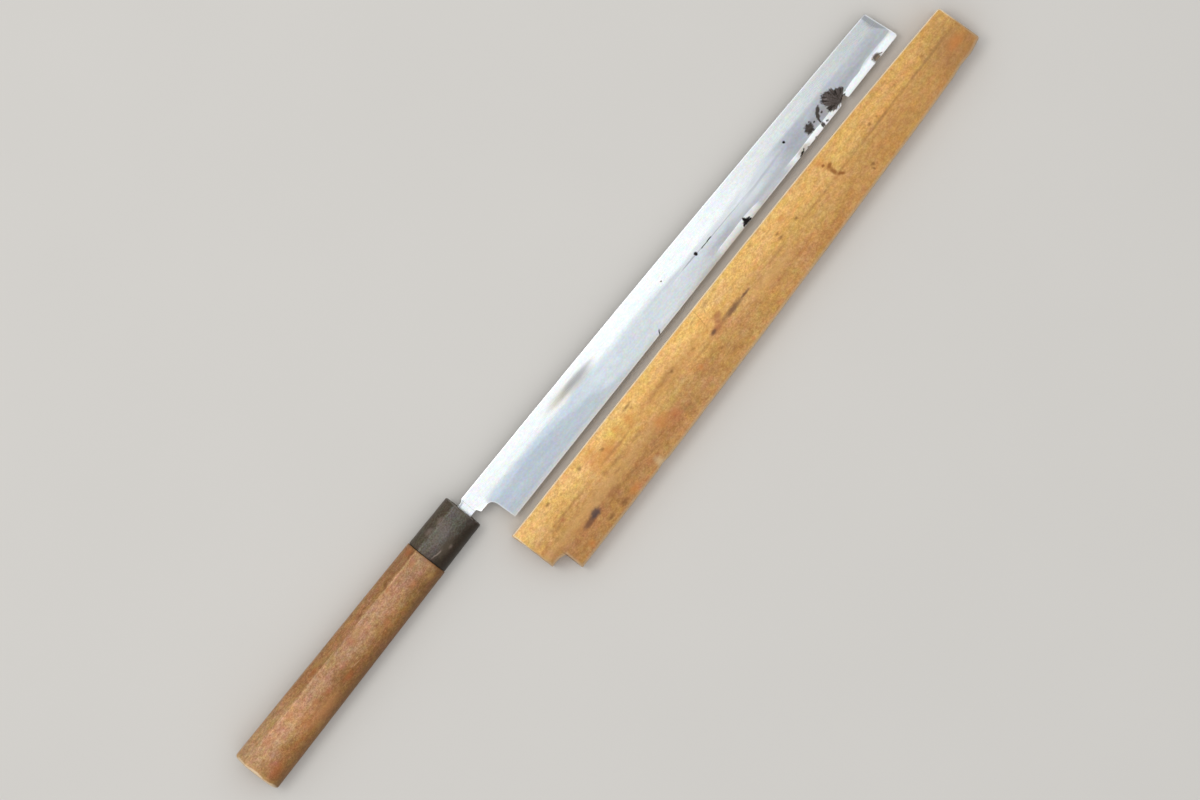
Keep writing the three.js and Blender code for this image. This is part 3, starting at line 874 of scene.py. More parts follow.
    def shares(self, x, y):
        """Share of each point in the bevel, in the bright rim of the blade and in the facet at the tip."""
        below = self.bevel_line(x) - y
        bevel = smoothstep(-self.BEVEL_SOFT, self.BEVEL_SOFT, below) * smoothstep(*self.BEVEL_FADE, x)
        places = self.stations(-self.blade.tang_end)
        sides = (self.upper(places), self.lower(places))
        upper, lower = [np.stack((self.lean(places, side), side), axis=-1) for side in sides]
        gap = border_distance(self.lean(x, y), y, np.vstack((upper, lower[::-1])))
        rim = smoothstep(*reversed(self.RIM_WIDTH), gap) * smoothstep(*self.RIM_FADE, x)
        facet = smoothstep(0, self.TIP_FACET_SOFT, self.ground(x, y) - self.tip_plane(x, y))
        return np.tile(np.stack((bevel, rim, facet), axis=-1).reshape(-1, 3), (2, 1))

    def plate(self, x, y, top, bottom):
        """Closed plate over a grid, with its shares."""
        return *slab(self.lean(x, y), y, BLADE_BACK + top, BLADE_BACK + bottom), self.shares(x, y)

    def iron(self):
        """Iron body with its shoulder, neck and tang."""
        x = self.stations(-self.blade.tang_end)[:, None]
        upper, lower = self.upper(x), self.layer_line(x)
        rim = self.SPINE_STEPS
        inner = np.linspace(0, 1, 42)[1:]
        y = np.hstack((upper - rim, upper - rim[-1] - (upper - lower - rim[-1]) * inner))
        x = np.broadcast_to(x, y.shape)
        top = self.front(x, y) - rounding(upper - y, self.SPINE_EASE)
        top = top - rounding(y - lower, self.SIDE_EASE) * (x < self.SIDE_EASE_END)
        tang_low = np.maximum(self.blade.heel_thickness - self.flat_height(x), 0)
        bottom = np.where(x < self.STEEL_START, tang_low, self.layer_height(x) + self.LAYER_GAP)
        return self.plate(x, y, top, np.minimum(bottom, top - self.LEAST_IRON))

    def steel(self):
        """Hard steel, under the iron and out to the edge."""
        x = self.stations(self.STEEL_START)[:, None]
        upper, line, lower = self.upper(x), self.layer_line(x), self.lower(x)
        covered = np.linspace(0, 1, 22)[:-1]
        shown = np.linspace(0, 1, 14)
        y = np.hstack((lerp(upper, line, covered), lerp(line, lower, shown)))
        x = np.broadcast_to(x, y.shape)
        top = np.minimum(self.front(x, y), self.layer_height(x))
        return self.plate(x, y, top, np.minimum(self.back(x, y), top - self.LEAST_STEEL))


def bevel_tone(finish, blade, along, steel):
    """Tone of the bevel: bluish at the heel, pale in the middle, grey toward the tip."""
    finish.tone = finish.tints(along, BEVEL_TINTS)
    clouds = finish.noise(1, (0.045, 0.12, 0.05), detail=4, distortion=0.4)
    finish.shade(clouds, 0.93, 1.05)
    waver = finish.swing(clouds, -0.9, 0.9)
    # A darker patch on the lower bevel near the heel.
    dark_heel_patch = finish.spread(finish.slanted(0.25) + waver, 25, 22.4)
    dark_heel_patch = dark_heel_patch * finish.spread(finish.y + waver, 13.3, 11.2, 0, 0.5)
    finish.lay(dark_heel_patch, dimmed(blade.bevel_colour, 0.8))
    above_edge = finish.slanted(-blade.edge_rise / blade.edge_length)
    worn_edge = finish.spread(above_edge, 2.4, 0.8, 0, 0.4) * finish.spread(finish.x, 120, 70)
    finish.lay(worn_edge, WORN_EDGE)
    uneven = finish.ragged(2.5, 0.3, detail=4)
    if steel:
        bright = finish.marks(STEEL_BRIGHT, uneven, soft=0.14) * finish.spread(above_edge, 2.7, 4, 1, 0.4)
        finish.lay(bright, blade.steel_colour)
    else:
        finish.lay(finish.marks(IRON_GLOOM, uneven, soft=0.65, strength=0.55), GLOOM)
    return finish.tone


def lay_rust(finish):
    """Lays the old rust over the tone, and gives its share and the height of its crust."""
    flakes = finish.noise(0.9, detail=6, roughness=0.75, shift=2) - 0.5
    uneven = finish.ragged(0.8, 0.9, detail=5)
    spots = finish.stain(BLADE_RUST, uneven, flakes)
    fan = finish.rays(*PATCH_ROOT, 40) * 1.5 + flakes
    patch = finish.marks(RUST_PATCH, uneven, soft=0.15, wobble=fan)
    burr = finish.rays(*BLOB_ROOT, 20) * 1.6 + flakes * 1.6
    blob = finish.marks([RUST_BLOB], uneven, soft=0.25, wobble=burr)
    crust = finish.noise(1.6, detail=5, roughness=0.8, shift=5) + finish.rays(*PATCH_ROOT, 60) * 1.2
    rusty = finish.tints(crust, RUST_TINTS)
    rusty = finish.blend(finish.spread(finish.x, 219, 225, 0.7, 0), rusty, BLOB_RUST)
    fringed = finish.highest([patch, blob])
    finish.lay(fringed, rusty)
    return finish.highest([spots, fringed]), crust


def blade_finish(name, place, blade, steel):
    """Stone-polished metal: a bright flat, a hazy bevel, scratches along the blade, smudges, painted shade on
    the neck and rust.
    """
    finish = Finish(name, place)
    bevel, rim, facet = finish.shares()
    up = finish.normal[2]
    along = finish.math("DIVIDE", finish.x, blade.edge_length, clamp=True)
    flat = finish.ramp(along, [(at, dimmed(blade.flat_colour, share)) for at, share in FLAT_DIMMING])
    finish.tone = finish.blend(bevel, flat, bevel_tone(finish, blade, along, steel))

    fine = finish.noise(1, (0.05, 7, 1), detail=4, roughness=0.65)
    finish.shade(fine, 0.975, 1.025)
    finish.shade(finish.noise(1, (0.015, 1.1, 0.3), shift=17), 0.965, 1.03)
    finish.mottle((0.36, 0.32, 0.4), 0.45, (0.6, 1, 1), 6)
    finish.mottle((0.48, 0.42, 0.54), 1.1, (0.8, 1, 1), 61, detail=2)

    clean = finish.tone
    smear = finish.noise(1, (0.09, 0.5, 0.2), detail=5, roughness=0.6, shift=23) - 0.5
    # Smudges, with painted shade on the neck.
    finish.stain(BLADE_SMUDGES_AND_NECK_SHADE, finish.ragged(0.6, 0.2), smear)
    finish.tone = finish.blend(finish.spread(up, 0.2, 0.7), clean, finish.tone)
    finish.lay(facet * 0.5, TIP_GREY)
    finish.lay(rim * 0.7, BRIGHT_RIM)

    clean = finish.tone
    rust, crust = lay_rust(finish)
    facing_up = finish.spread(up, -0.2, 0.2)
    finish.tone = finish.blend(facing_up, clean, finish.tone)
    rust = rust * facing_up
    polish = bevel * (BEVEL_ROUGHNESS - FLAT_ROUGHNESS) + FLAT_ROUGHNESS
    return finish.done(
        Metallic=1 - rust,
        Roughness=polish + finish.swing(fine, -0.04, 0.05) + rust * RUST_ROUGHNESS,
        Specular_IOR_Level=0.12,
        Normal=finish.bump(fine + rust * crust * CRUST_HEIGHT, 0.006),
    )


class KNIFE_OT_blade(bpy.types.Operator):
    """Make the iron body and the hard steel of the blade"""

    bl_idname = "knife.blade"
    bl_label = "Blade"

    def execute(self, context):
        blade, handle, _ = read_settings(context.scene)
        place = Place()
        shape = BladeShape(blade, handle)
        finish = blade_finish("polished_iron", place, blade, False)
        add_piece("iron_body", place, shape.iron(), finish, "knife", "blade_iron")
        finish = blade_finish("polished_steel", place, blade, True)
        add_piece("steel_plate", place, shape.steel(), finish, "knife", "edge_steel")
        return {"FINISHED"}


# Handle

# Each dent in the grip: place along and across, half length, half width, turn in degrees and depth.
GRIP_DENTS = [(-46.4, 7, 2.4, 0.65, 22, 0.35), (-64.2, 7, 2.2, 0.7, 5, 0.18)]

# Each group of marks, as on the blade: handled, yellowed and worn patches, then dark specks.
GRIP_MARKS = [
    ((188, 116, 74), 0.9, 0.42, 1.2, [
        (-132.5, 4.5, 1.8, 1.5), (-117.5, 4, 1.9, 1.5), (-115.5, -5.5, 2, 2), (-106, -1.5, 1.6, 1.3),
        (-75.2, 2.6, 1.4, 2.4), (-58.8, -4.2, 1.3, 2.1), (-48.2, 4.4, 1.5, 1.1), (-32, 3.2, 1.6, 1.3),
        (-39, -2.6, 1.8, 1.1),
    ]),
    ((172, 92, 48), 0.9, 0.5, 1.2, [
        (-139.7, -6.4, 3.7, 2.5, 10), (-99, -2.8, 1.7, 1.1), (-96, 7.7, 2.6, 0.8), (-28.8, 7.6, 1.6, 1.2),
        (-88, -5.6, 2.4, 1),
    ]),
    ((190, 152, 84), 0.9, 0.4, 1.2, [
        (-126, 7.6, 1.5, 0.9), (-71, 3.8, 2.9, 1.6), (-65, -3, 2.2, 1.6), (-86, 5.3, 1.3, 0.8),
        (-31, -6.5, 1.7, 1.3), (-112.5, -8.7, 2.2, 0.9), (-146.2, -4.2, 0.6, 1.2), (-93, 8.6, 2, 0.9),
    ]),
    ((194, 136, 86), 0.9, 0.5, 1.2, [(-105, -6.6, 8, 2.4)]),
    ((224, 182, 138), 0.9, 0.35, 1, [
        (-81.3, -4.7, 2.3, 0.22, -8), (-83.6, -4, 0.6, 0.25), (-79.4, -3.5, 1, 0.2), (-120, 0.1, 2, 0.3),
    ]),
    ((112, 68, 33), 0.9, 0.6, 1.2, [
        (-46.5, 6.8, 2.3, 0.65, 18), (-64.2, 6.9, 1.5, 0.55), (-60.5, 7.6, 1, 0.45), (-29, 6.3, 1.9, 0.45),
    ]),
    ((128, 80, 42), 1, 0.45, 1.2, [
        (-41.8, 2.8, 0.7, 0.5), (-35.9, -1.2, 0.9, 0.5), (-39.8, -0.7, 1.3, 0.4), (-90, 0.5, 0.6, 0.4),
        (-95.5, -6.6, 0.7, 0.45), (-127, 2.3, 1, 0.4), (-122, 9.6, 1.5, 0.5), (-136.6, -4.7, 0.5, 0.4),
        (-145, -7.6, 0.9, 0.5), (-125, -9.6, 1.1, 0.5), (-63, -1.4, 0.6, 0.3),
    ]),
]
HORN_MARKS = [
    ((106, 97, 95), 0.8, 0.4, 1.4, [(-13, 1.6, 4, 3.2), (-14.5, 5.2, 0.9, 0.7)]),
    ((92, 80, 64), 0.9, 0.5, 1.4, [(-17, -4, 4.5, 1.6)]),
    ((150, 132, 122), 1, 0.42, 1.3, [(-16.5, 6.2, 1.6, 0.8), (-9.5, 5.6, 1.5, 0.7), (-15.5, -5.3, 0.9, 0.5)]),
    ((168, 150, 138), 0.8, 0.5, 0.9, [(-22.3, -2.7, 2.4, 0.24, -13), (-20.3, -3.1, 0.8, 0.3)]),
]

# How much the grip is dimmed by handling, and the colour of its facet, from the butt at 0 to the front at 1.
GRIP_DIMMING = [
    (0.04, 0.9), (0.14, 0.97), (0.24, 1), (0.3, 0.84), (0.4, 0.76), (0.52, 0.83), (0.6, 0.88), (0.7, 0.8),
    (0.76, 0.7),
]
FACET_TINTS = [
    (0.04, (192, 148, 103)), (0.15, (190, 148, 102)), (0.28, (164, 117, 72)), (0.4, (164, 118, 73)),
    (0.5, (174, 127, 80)), (0.63, (172, 126, 79)), (0.76, (158, 113, 71)),
]
# Painted highlight along the ridge of the grip.
RIDGE_HIGHLIGHT = linear(224, 184, 140)
# Wear and painted highlight at the rounded butt: a pale band, then a bright rim.
BUTT_WEAR_AND_HIGHLIGHT = linear(214, 176, 112)
BUTT_RIM_WEAR_AND_HIGHLIGHT = linear(246, 224, 190)
HORN_FACET = linear(76, 65, 49)
# Painted highlight along the ridge of the horn.
HORN_RIDGE_HIGHLIGHT = linear(134, 127, 119)
HORN_FRONT = linear(140, 132, 124)
# Painted highlight along the upper shoulder of the spine side, and painted shade on the edge side.
GRIP_SIDE_LIGHT_AND_SHADE = (linear(208, 182, 150), linear(92, 64, 40))
HORN_SIDE_LIGHT_AND_SHADE = (linear(128, 120, 112), linear(34, 27, 20))

# Noises of a wood, for its grain, fibres, clouds and pores: lumps to the millimetre along and across,
# detail, roughness, distortion and shift. Mottles and specks: amount, lumps to the millimetre,
# stretch along the piece, shift and, for mottles, detail.
GRIP_WOOD = SimpleNamespace(
    noises=[
        (0.06, 0.8, 6, 0.62, 0.4, 0), (0.3, 5, 4, 0.6, 0, 9),
        (0.06, 0.14, 4, 0.5, 0, 31), (0.6, 2.6, 2, 0.5, 0, 50),
    ],
    mottles=[((0.4, 0.5, 0.8), 0.16, 0.6, 14, 5), ((0.4, 0.5, 0.9), 0.5, 0.7, 45, 3)],
    specks=[(0.24, 0.6, 0.8, 70), (0.28, 1.5, 0.8, 77)],
    grain_range=(0.92, 1.07), fibre_range=(0.94, 1.05), roughness=(0.48, 0.66), specular=0.3,
    pore_share=0.4, pore_dimming=0.5, pore_depth=2,
)


class HandleShape:
    """Sections of the handle, in millimetres from the middle of its front."""

    RIDGE_ACROSS = (0.46, 0.51)
    RIDGE_TOP = 1.02
    FLAT = 0.985
    RIDGE_EASE = 0.05
    BUTT_DOME = 0.1
    BUTT_CROWN = 0.12
    BUTT_RINGS = (0.12, 0.4, 0.7, 0.9)
    DENT_REACH = 1.5
    FRONT_EASE = ((0, -0.15), (0.05, -0.05), (0.14, 0))
    FERRULE_EASE = (0.16, 0.05)
    TENON = (6.5, 5.4)
    TENON_EASE = 0.3
    TENON_SET_BACK = 0.4
    GLUE_GAP = 0.2
    SEAL = (10.4, 6.8)
    SEAL_DEPTH = 3
    SEAL_SET_BACK = 0.8
    SEAL_FIT = 0.03
    SEAL_RISE = 0.35
    SEAL_SAG = 0.15
    TANG_HOLE_END = 94
    TANG_HOLE_TAPER = (0.62, 0.68)
    TANG_CLEARANCE = 0.4

    def __init__(self, handle, blade):
        self.handle = handle
        self.neck = ((blade.neck_high - blade.neck_low) / 2, blade.heel_thickness / 2)
        self.neck_middle = (blade.neck_high + blade.neck_low) / 2 - handle.axis_y
        self.tang_z = BLADE_BACK + blade.heel_thickness / 2
        ring = self.section(0)
        self.angles = np.arctan2(ring[:, 2] - self.tang_z, ring[:, 1])

    def unit_section(self, share):
        """Section in fractions of its half axes: an ellipse with one eased ridge drawn out of it."""
        ridge = np.array((lerp(*self.RIDGE_ACROSS, share), self.RIDGE_TOP))
        reach = math.acos(1 / np.hypot(*ridge))
        middle = math.atan2(ridge[1], ridge[0])
        angles = np.linspace(middle + reach, middle - reach + 2 * math.pi, 97)
        oval = np.stack((np.cos(angles), np.maximum(np.sin(angles), -self.FLAT)), axis=-1)
        before, after = lerp(ridge, oval[-1], self.RIDGE_EASE), lerp(ridge, oval[0], self.RIDGE_EASE)
        share = np.linspace(0, 1, 7)[:, None]
        bend = lerp(lerp(before, ridge, share), lerp(ridge, after, share), share)
        steps = np.linspace(0, 1, 9)[1:-1, None]
        return np.vstack((bend, lerp(after, oval[0], steps), oval, lerp(oval[-1], before, steps)))

    def section(self, x, inset=0):
        """Ring round the handle at a place along its axis."""
        handle = self.handle
        share = -x / handle.total_length
        half_height = lerp(handle.front_height, handle.butt_height, share) / 2
        thickness = lerp(handle.front_thickness, handle.butt_thickness, share)
        half_thickness = thickness / (self.FLAT + self.RIDGE_TOP)
        y, z = self.unit_section(share).T
        z = self.FLAT * half_thickness + (half_thickness - inset) * z
        return ring_of(x, (half_height - inset) * y, z)

    def round_tang(self, x, reach, middle=0):
        """Ring round the tang with a reach at each of its angles."""
        return ring_of(x, middle + reach * np.cos(self.angles), self.tang_z + reach * np.sin(self.angles))

    def oval(self, x, half_height, half_thickness):
        """Oval ring round the tang."""
        reach = 1 / np.hypot(np.cos(self.angles) / half_height, np.sin(self.angles) / half_thickness)
        return self.round_tang(x, reach)

    def square(self, x, half_height, half_thickness, middle=0):
        """Rectangular ring round the tang."""
        c, s = [np.maximum(np.abs(part), 1e-9) for part in (np.cos(self.angles), np.sin(self.angles))]
        return self.round_tang(x, np.minimum(half_height / c, half_thickness / s), middle)

    def dented(self, ring):
        """Ring with the dents of the grip pressed into its upper side."""
        x, y, z = ring.T
        upper = z > self.tang_z
        for along, across, half_length, half_width, turn, depth in GRIP_DENTS:
            ahead, beside = turned_back(x - along, y - across, math.radians(turn))
            z = z - depth * np.exp(-2 * np.hypot(ahead / half_length, beside / half_width) ** 2) * upper
        return np.stack((x, y, z), axis=-1)

    def grip(self):
        """Rings of the grip from the middle of its butt, over its outside and tenon, into the tang hole."""
        butt, radius = -self.handle.total_length, self.handle.butt_round
        front = -self.handle.ferrule_length
        rings = []
        for share in self.BUTT_RINGS:
            ring = self.section(butt + radius, radius)
            ring = lerp(ring.mean(axis=0), ring, share)
            ring[:, 0] = butt + self.BUTT_DOME * share**2
            rings.append(ring)
        for turn in np.linspace(0, math.pi / 2, 9):
            x = butt + self.BUTT_CROWN + (radius - self.BUTT_CROWN) * (1 - math.cos(turn))
            rings.append(self.section(x, radius * (1 - math.sin(turn))))
        places = [np.linspace(butt + radius, front - 0.4, 60)[1:]]
        for along, _, half_length, *_ in GRIP_DENTS:
            reach = self.DENT_REACH * half_length
            places.append(np.linspace(along - reach, along + reach, 11))
        rings += [self.dented(self.section(x)) for x in merged(places, 2)]
        rings += [self.section(front + step, inset) for inset, step in self.FRONT_EASE]
        tenon_end = -self.TENON_SET_BACK
        eased = [size - self.TENON_EASE for size in self.TENON]
        mouth = [size / 2 + self.GLUE_GAP for size in self.SEAL]
        hole = [size + self.TANG_CLEARANCE for size in self.neck]
        hole_end = [size * taper for size, taper in zip(hole, self.TANG_HOLE_TAPER)]
        return rings + [
            self.oval(front, *self.TENON),
            self.oval(tenon_end - self.TENON_EASE, *self.TENON),
            self.oval(tenon_end, *eased),
            self.square(tenon_end, *mouth),
            self.square(-self.SEAL_DEPTH, *mouth),
            self.square(-self.SEAL_DEPTH, *hole),
            self.square(-self.TANG_HOLE_END, *hole_end),
        ]

    def ferrule(self):
        """Rings of the horn collar, outside and through its bore."""
        rear, radius = -self.handle.ferrule_length + self.GLUE_GAP, self.handle.ferrule_round
        inset = self.handle.ferrule_inset
        ease, step = self.FERRULE_EASE
        rings = [self.section(rear, inset + ease), self.section(rear + step, inset + step)]
        rings += [self.section(x, inset) for x in np.linspace(rear + ease, -radius, 16)]
        for turn in np.linspace(0, math.pi / 2, 7)[1:]:
            rings.append(self.section(-radius * (1 - math.sin(turn)), inset + radius * (1 - math.cos(turn))))
        bore = [size + self.GLUE_GAP for size in self.TENON]
        mouth = [size + self.TENON_EASE for size in bore]
        return rings + [self.oval(0, *mouth), self.oval(-self.TENON_EASE, *bore), self.oval(rear, *bore)]

    def seal(self):
        """Rings of the resin round the neck, hollow toward the wood."""
        outer = [size / 2 for size in self.SEAL]
        inner = [size + self.SEAL_FIT for size in self.neck]
        front, rear = -self.SEAL_SET_BACK, -self.SEAL_DEPTH + self.GLUE_GAP
        rings = [self.square(rear, *outer), self.square(front, *outer)]
        for share in (0.25, 0.5, 0.75, 1):
            half = [lerp(a, b, share) for a, b in zip(outer, inner)]
            ring = self.square(front, *half, middle=self.neck_middle * share)
            ring[:, 0] += self.SEAL_RISE * share**2 - self.SEAL_SAG * math.sin(math.pi * share)
            rings.append(ring)
        return [*rings, self.square(rear, *inner, middle=self.neck_middle)]


def ridge_distance(finish, handle):
    """Distance of a point of the handle from its ridge, positive toward the spine side."""
    low, high = HandleShape.RIDGE_ACROSS
    front = low * handle.front_height / 2
    butt = high * handle.butt_height / 2
    return finish.slanted((butt - front) / handle.total_length) - front


def paint_side_light_and_shade(finish, pale, dark, streaks):
    """Lays a painted highlight along the upper shoulder of the spine side, and painted shade on the sides
    that face the edge side.
    """
    _, across, up = finish.normal
    band = finish.spread(up, 0.02, 0.15) * finish.spread(up, 0.42, 0.26)
    band = band * finish.spread(across, 0.3, 0.6, 0, 0.5) * finish.spread(streaks, 0.4, 0.6)
    # Painted highlight along the upper shoulder of the spine side.
    finish.lay(band, pale)
    # Painted shade on the sides that face the edge side.
    finish.lay(finish.spread(across, -0.4, -0.95, 0, 0.5), dark)


def grip_finish(place, handle):
    """Bare wood worn smooth: mottled grain, an ochre facet, specks and handled patches, painted highlights
    along the ridge and on the spine side, wear and painted highlight at the butt, painted shade at the joint
    and on the edge side.
    """
    wood = Wood("worn_grip_wood", place, GRIP_WOOD)
    light, dark = handle.wood_colour, handle.wood_dark_colour
    butt, front = -handle.total_length, -handle.ferrule_length
    across = wood.y + wood.swing(wood.clouds, -2.5, 2.5)
    wood.tone = wood.blend(wood.spread(across, 1.5, -7), light, dark)
    along = wood.math("ADD", wood.x / handle.total_length, 1, clamp=True)
    dimming = [(at, (0.99 * dim, dim, 0.96 * dim)) for at, dim in GRIP_DIMMING]
    wood.lay(1, wood.ramp(along, dimming), "MULTIPLY")
    from_ridge = ridge_distance(wood, handle)
    ochre = wood.shaded(wood.tints(along, FACET_TINTS), wood.clouds, 0.88, 1.12)
    wood.lay(wood.spread(from_ridge, 0.15, 0.8, 0, 0.9), ochre)
    # Painted highlight along the ridge of the grip.
    ridge_highlight = wood.spread(abs(from_ridge - 0.25), 0.1, 0.9, 0.5, 0) * wood.spread(wood.grain, 0.38, 0.6)
    wood.lay(ridge_highlight, RIDGE_HIGHLIGHT)
    wood.weather(dark)
    flakes = wood.noise(0.7, detail=5, roughness=0.7, shift=2) - 0.5
    wood.stain(GRIP_MARKS, wood.ragged(0.8, 0.6, detail=4), flakes)
    # Painted shade in the joint between the grip and the horn collar.
    wood.lay(wood.spread(wood.x, front - 1.1, front, 0, 0.6), dimmed(dark, 0.45))
    # Wear and painted highlight on the rounded edge of the butt.
    lit_and_worn_end = wood.x + wood.swing(wood.clouds, -0.5, 0.5)
    wood.lay(wood.spread(lit_and_worn_end, butt + 3, butt + 2, 0, 0.2), BUTT_WEAR_AND_HIGHLIGHT)
    butt_rim_wear_and_highlight = wood.spread(lit_and_worn_end, butt + 1.4, butt + 0.6, 0, 0.8)
    wood.lay(butt_rim_wear_and_highlight * wood.spread(wood.fibres, 0.3, 0.6, 0.7, 1), BUTT_RIM_WEAR_AND_HIGHLIGHT)
    rings = wood.noise(1, (0.1, 0.35, 2), detail=4, distortion=0.8, shift=3)
    end_grain = wood.ramp(rings, [(0.36, dimmed(dark, 0.6)), (0.5, dark), (0.64, mixed(light, dark, 0.2))])
    wood.lay(wood.spread(wood.x, butt + 0.3, butt + 0.12), wood.speckled(end_grain, 0.25, 1.6, shift=33))
    # Painted highlight and painted shade on the sides of the grip.
    paint_side_light_and_shade(wood, *GRIP_SIDE_LIGHT_AND_SHADE, wood.grain)
    return wood.done()


def horn_finish(place, handle):
    """Satin horn: a grey middle, a brown facet and lower side, cloudy streaks and fine scratches, painted
    highlights along the ridge and on the spine side, painted shade at the joint and on the edge side.
    """
    horn = Finish("satin_horn", place)
    grey, brown = handle.horn_colour, handle.horn_dark_colour
    rear = -handle.ferrule_length
    clouds = horn.noise(1, (0.12, 0.26, 0.26), detail=5, roughness=0.6, distortion=0.4, shift=12)
    streaks = horn.noise(1, (0.12, 0.9, 0.9), detail=5, roughness=0.6, distortion=0.5)
    hairs = horn.noise(1, (0.2, 6, 6), shift=4)
    across = horn.slanted(0.15) + horn.swing(clouds, -2, 2)
    horn.tone = horn.blend(horn.spread(across, 0, -8.5), grey, brown)
    horn.lay(horn.spread(horn.x, -11, -5, 0, 0.85), (0.78, 0.8, 0.82), "MULTIPLY")
    from_ridge = ridge_distance(horn, handle)
    horn.lay(horn.spread(from_ridge, -0.5, 0.7, 0, 0.85), HORN_FACET)
    streaked = horn.spread(streaks, 0.35, 0.6)
    # Painted highlight along the ridge of the horn.
    horn.lay(horn.spread(abs(from_ridge), 0.1, 1.1, 0.35, 0) * streaked, HORN_RIDGE_HIGHLIGHT)
    horn.shade(streaks, 0.9, 1.1)
    horn.mottle((0.7, 0.7, 0.9), 0.3, (0.6, 1, 1), 41)
    horn.mottle((0.5, 0.5, 0.65), 1.2, (0.6, 1, 1), 19, detail=2)
    horn.speckle(0.5, 1.2, shift=70)
    horn.shade(hairs, 0.92, 1.07)
    flakes = horn.noise(0.7, detail=5, roughness=0.7, shift=2) - 0.5
    horn.stain(HORN_MARKS, horn.ragged(0.6, 0.8), flakes)
    # Painted shade in the joint between the horn collar and the grip.
    horn.lay(horn.spread(horn.x, rear + 0.9, rear + 0.1, 0, 0.7), dimmed(brown, 0.4))
    horn.lay(horn.spread(horn.x, -0.7, -0.3, 0, 0.5) * streaked, HORN_FRONT)
    # Painted highlight and painted shade on the sides of the horn.
    paint_side_light_and_shade(horn, *HORN_SIDE_LIGHT_AND_SHADE, streaks)
    rough = horn.swing(hairs, 0.42, 0.56)
    return horn.done(Roughness=rough, Normal=horn.bump(hairs, 0.015, 0.7), Specular_IOR_Level=0.35)


def resin_finish(place, handle):
    """Dull dark resin with small bubbles."""
    resin = Finish("dark_resin", place)
    lumps = resin.noise(1.2, detail=4)
    resin.tone = resin.ramp(lumps, [(0.35, dimmed(handle.resin_colour, 0.6)), (0.65, handle.resin_colour)])
    return resin.done(Roughness=resin.swing(lumps, 0.42, 0.6), Normal=resin.bump(lumps, 0.08))


class KNIFE_OT_handle(bpy.types.Operator):
    """Make the wooden grip, the horn ferrule and the resin round the neck"""

    bl_idname = "knife.handle"
    bl_label = "Handle"

    def execute(self, context):
        blade, handle, _ = read_settings(context.scene)
        place = Place(-handle.front_x, handle.axis_y, handle.tilt)
        shape = HandleShape(handle, blade)
        grip, finish = shell(shape.grip()), grip_finish(place, handle)
        add_piece("wood_grip", place, grip, finish, "knife", "handle_grip")
        collar, finish = shell(shape.ferrule(), True), horn_finish(place, handle)
        add_piece("horn_collar", place, collar, finish, "knife", "horn_ferrule")
        seal, finish = shell(shape.seal(), True), resin_finish(place, handle)
        add_piece("resin_seal", place, seal, finish, "knife", "tang_seal")
        return {"FINISHED"}


# Sheath

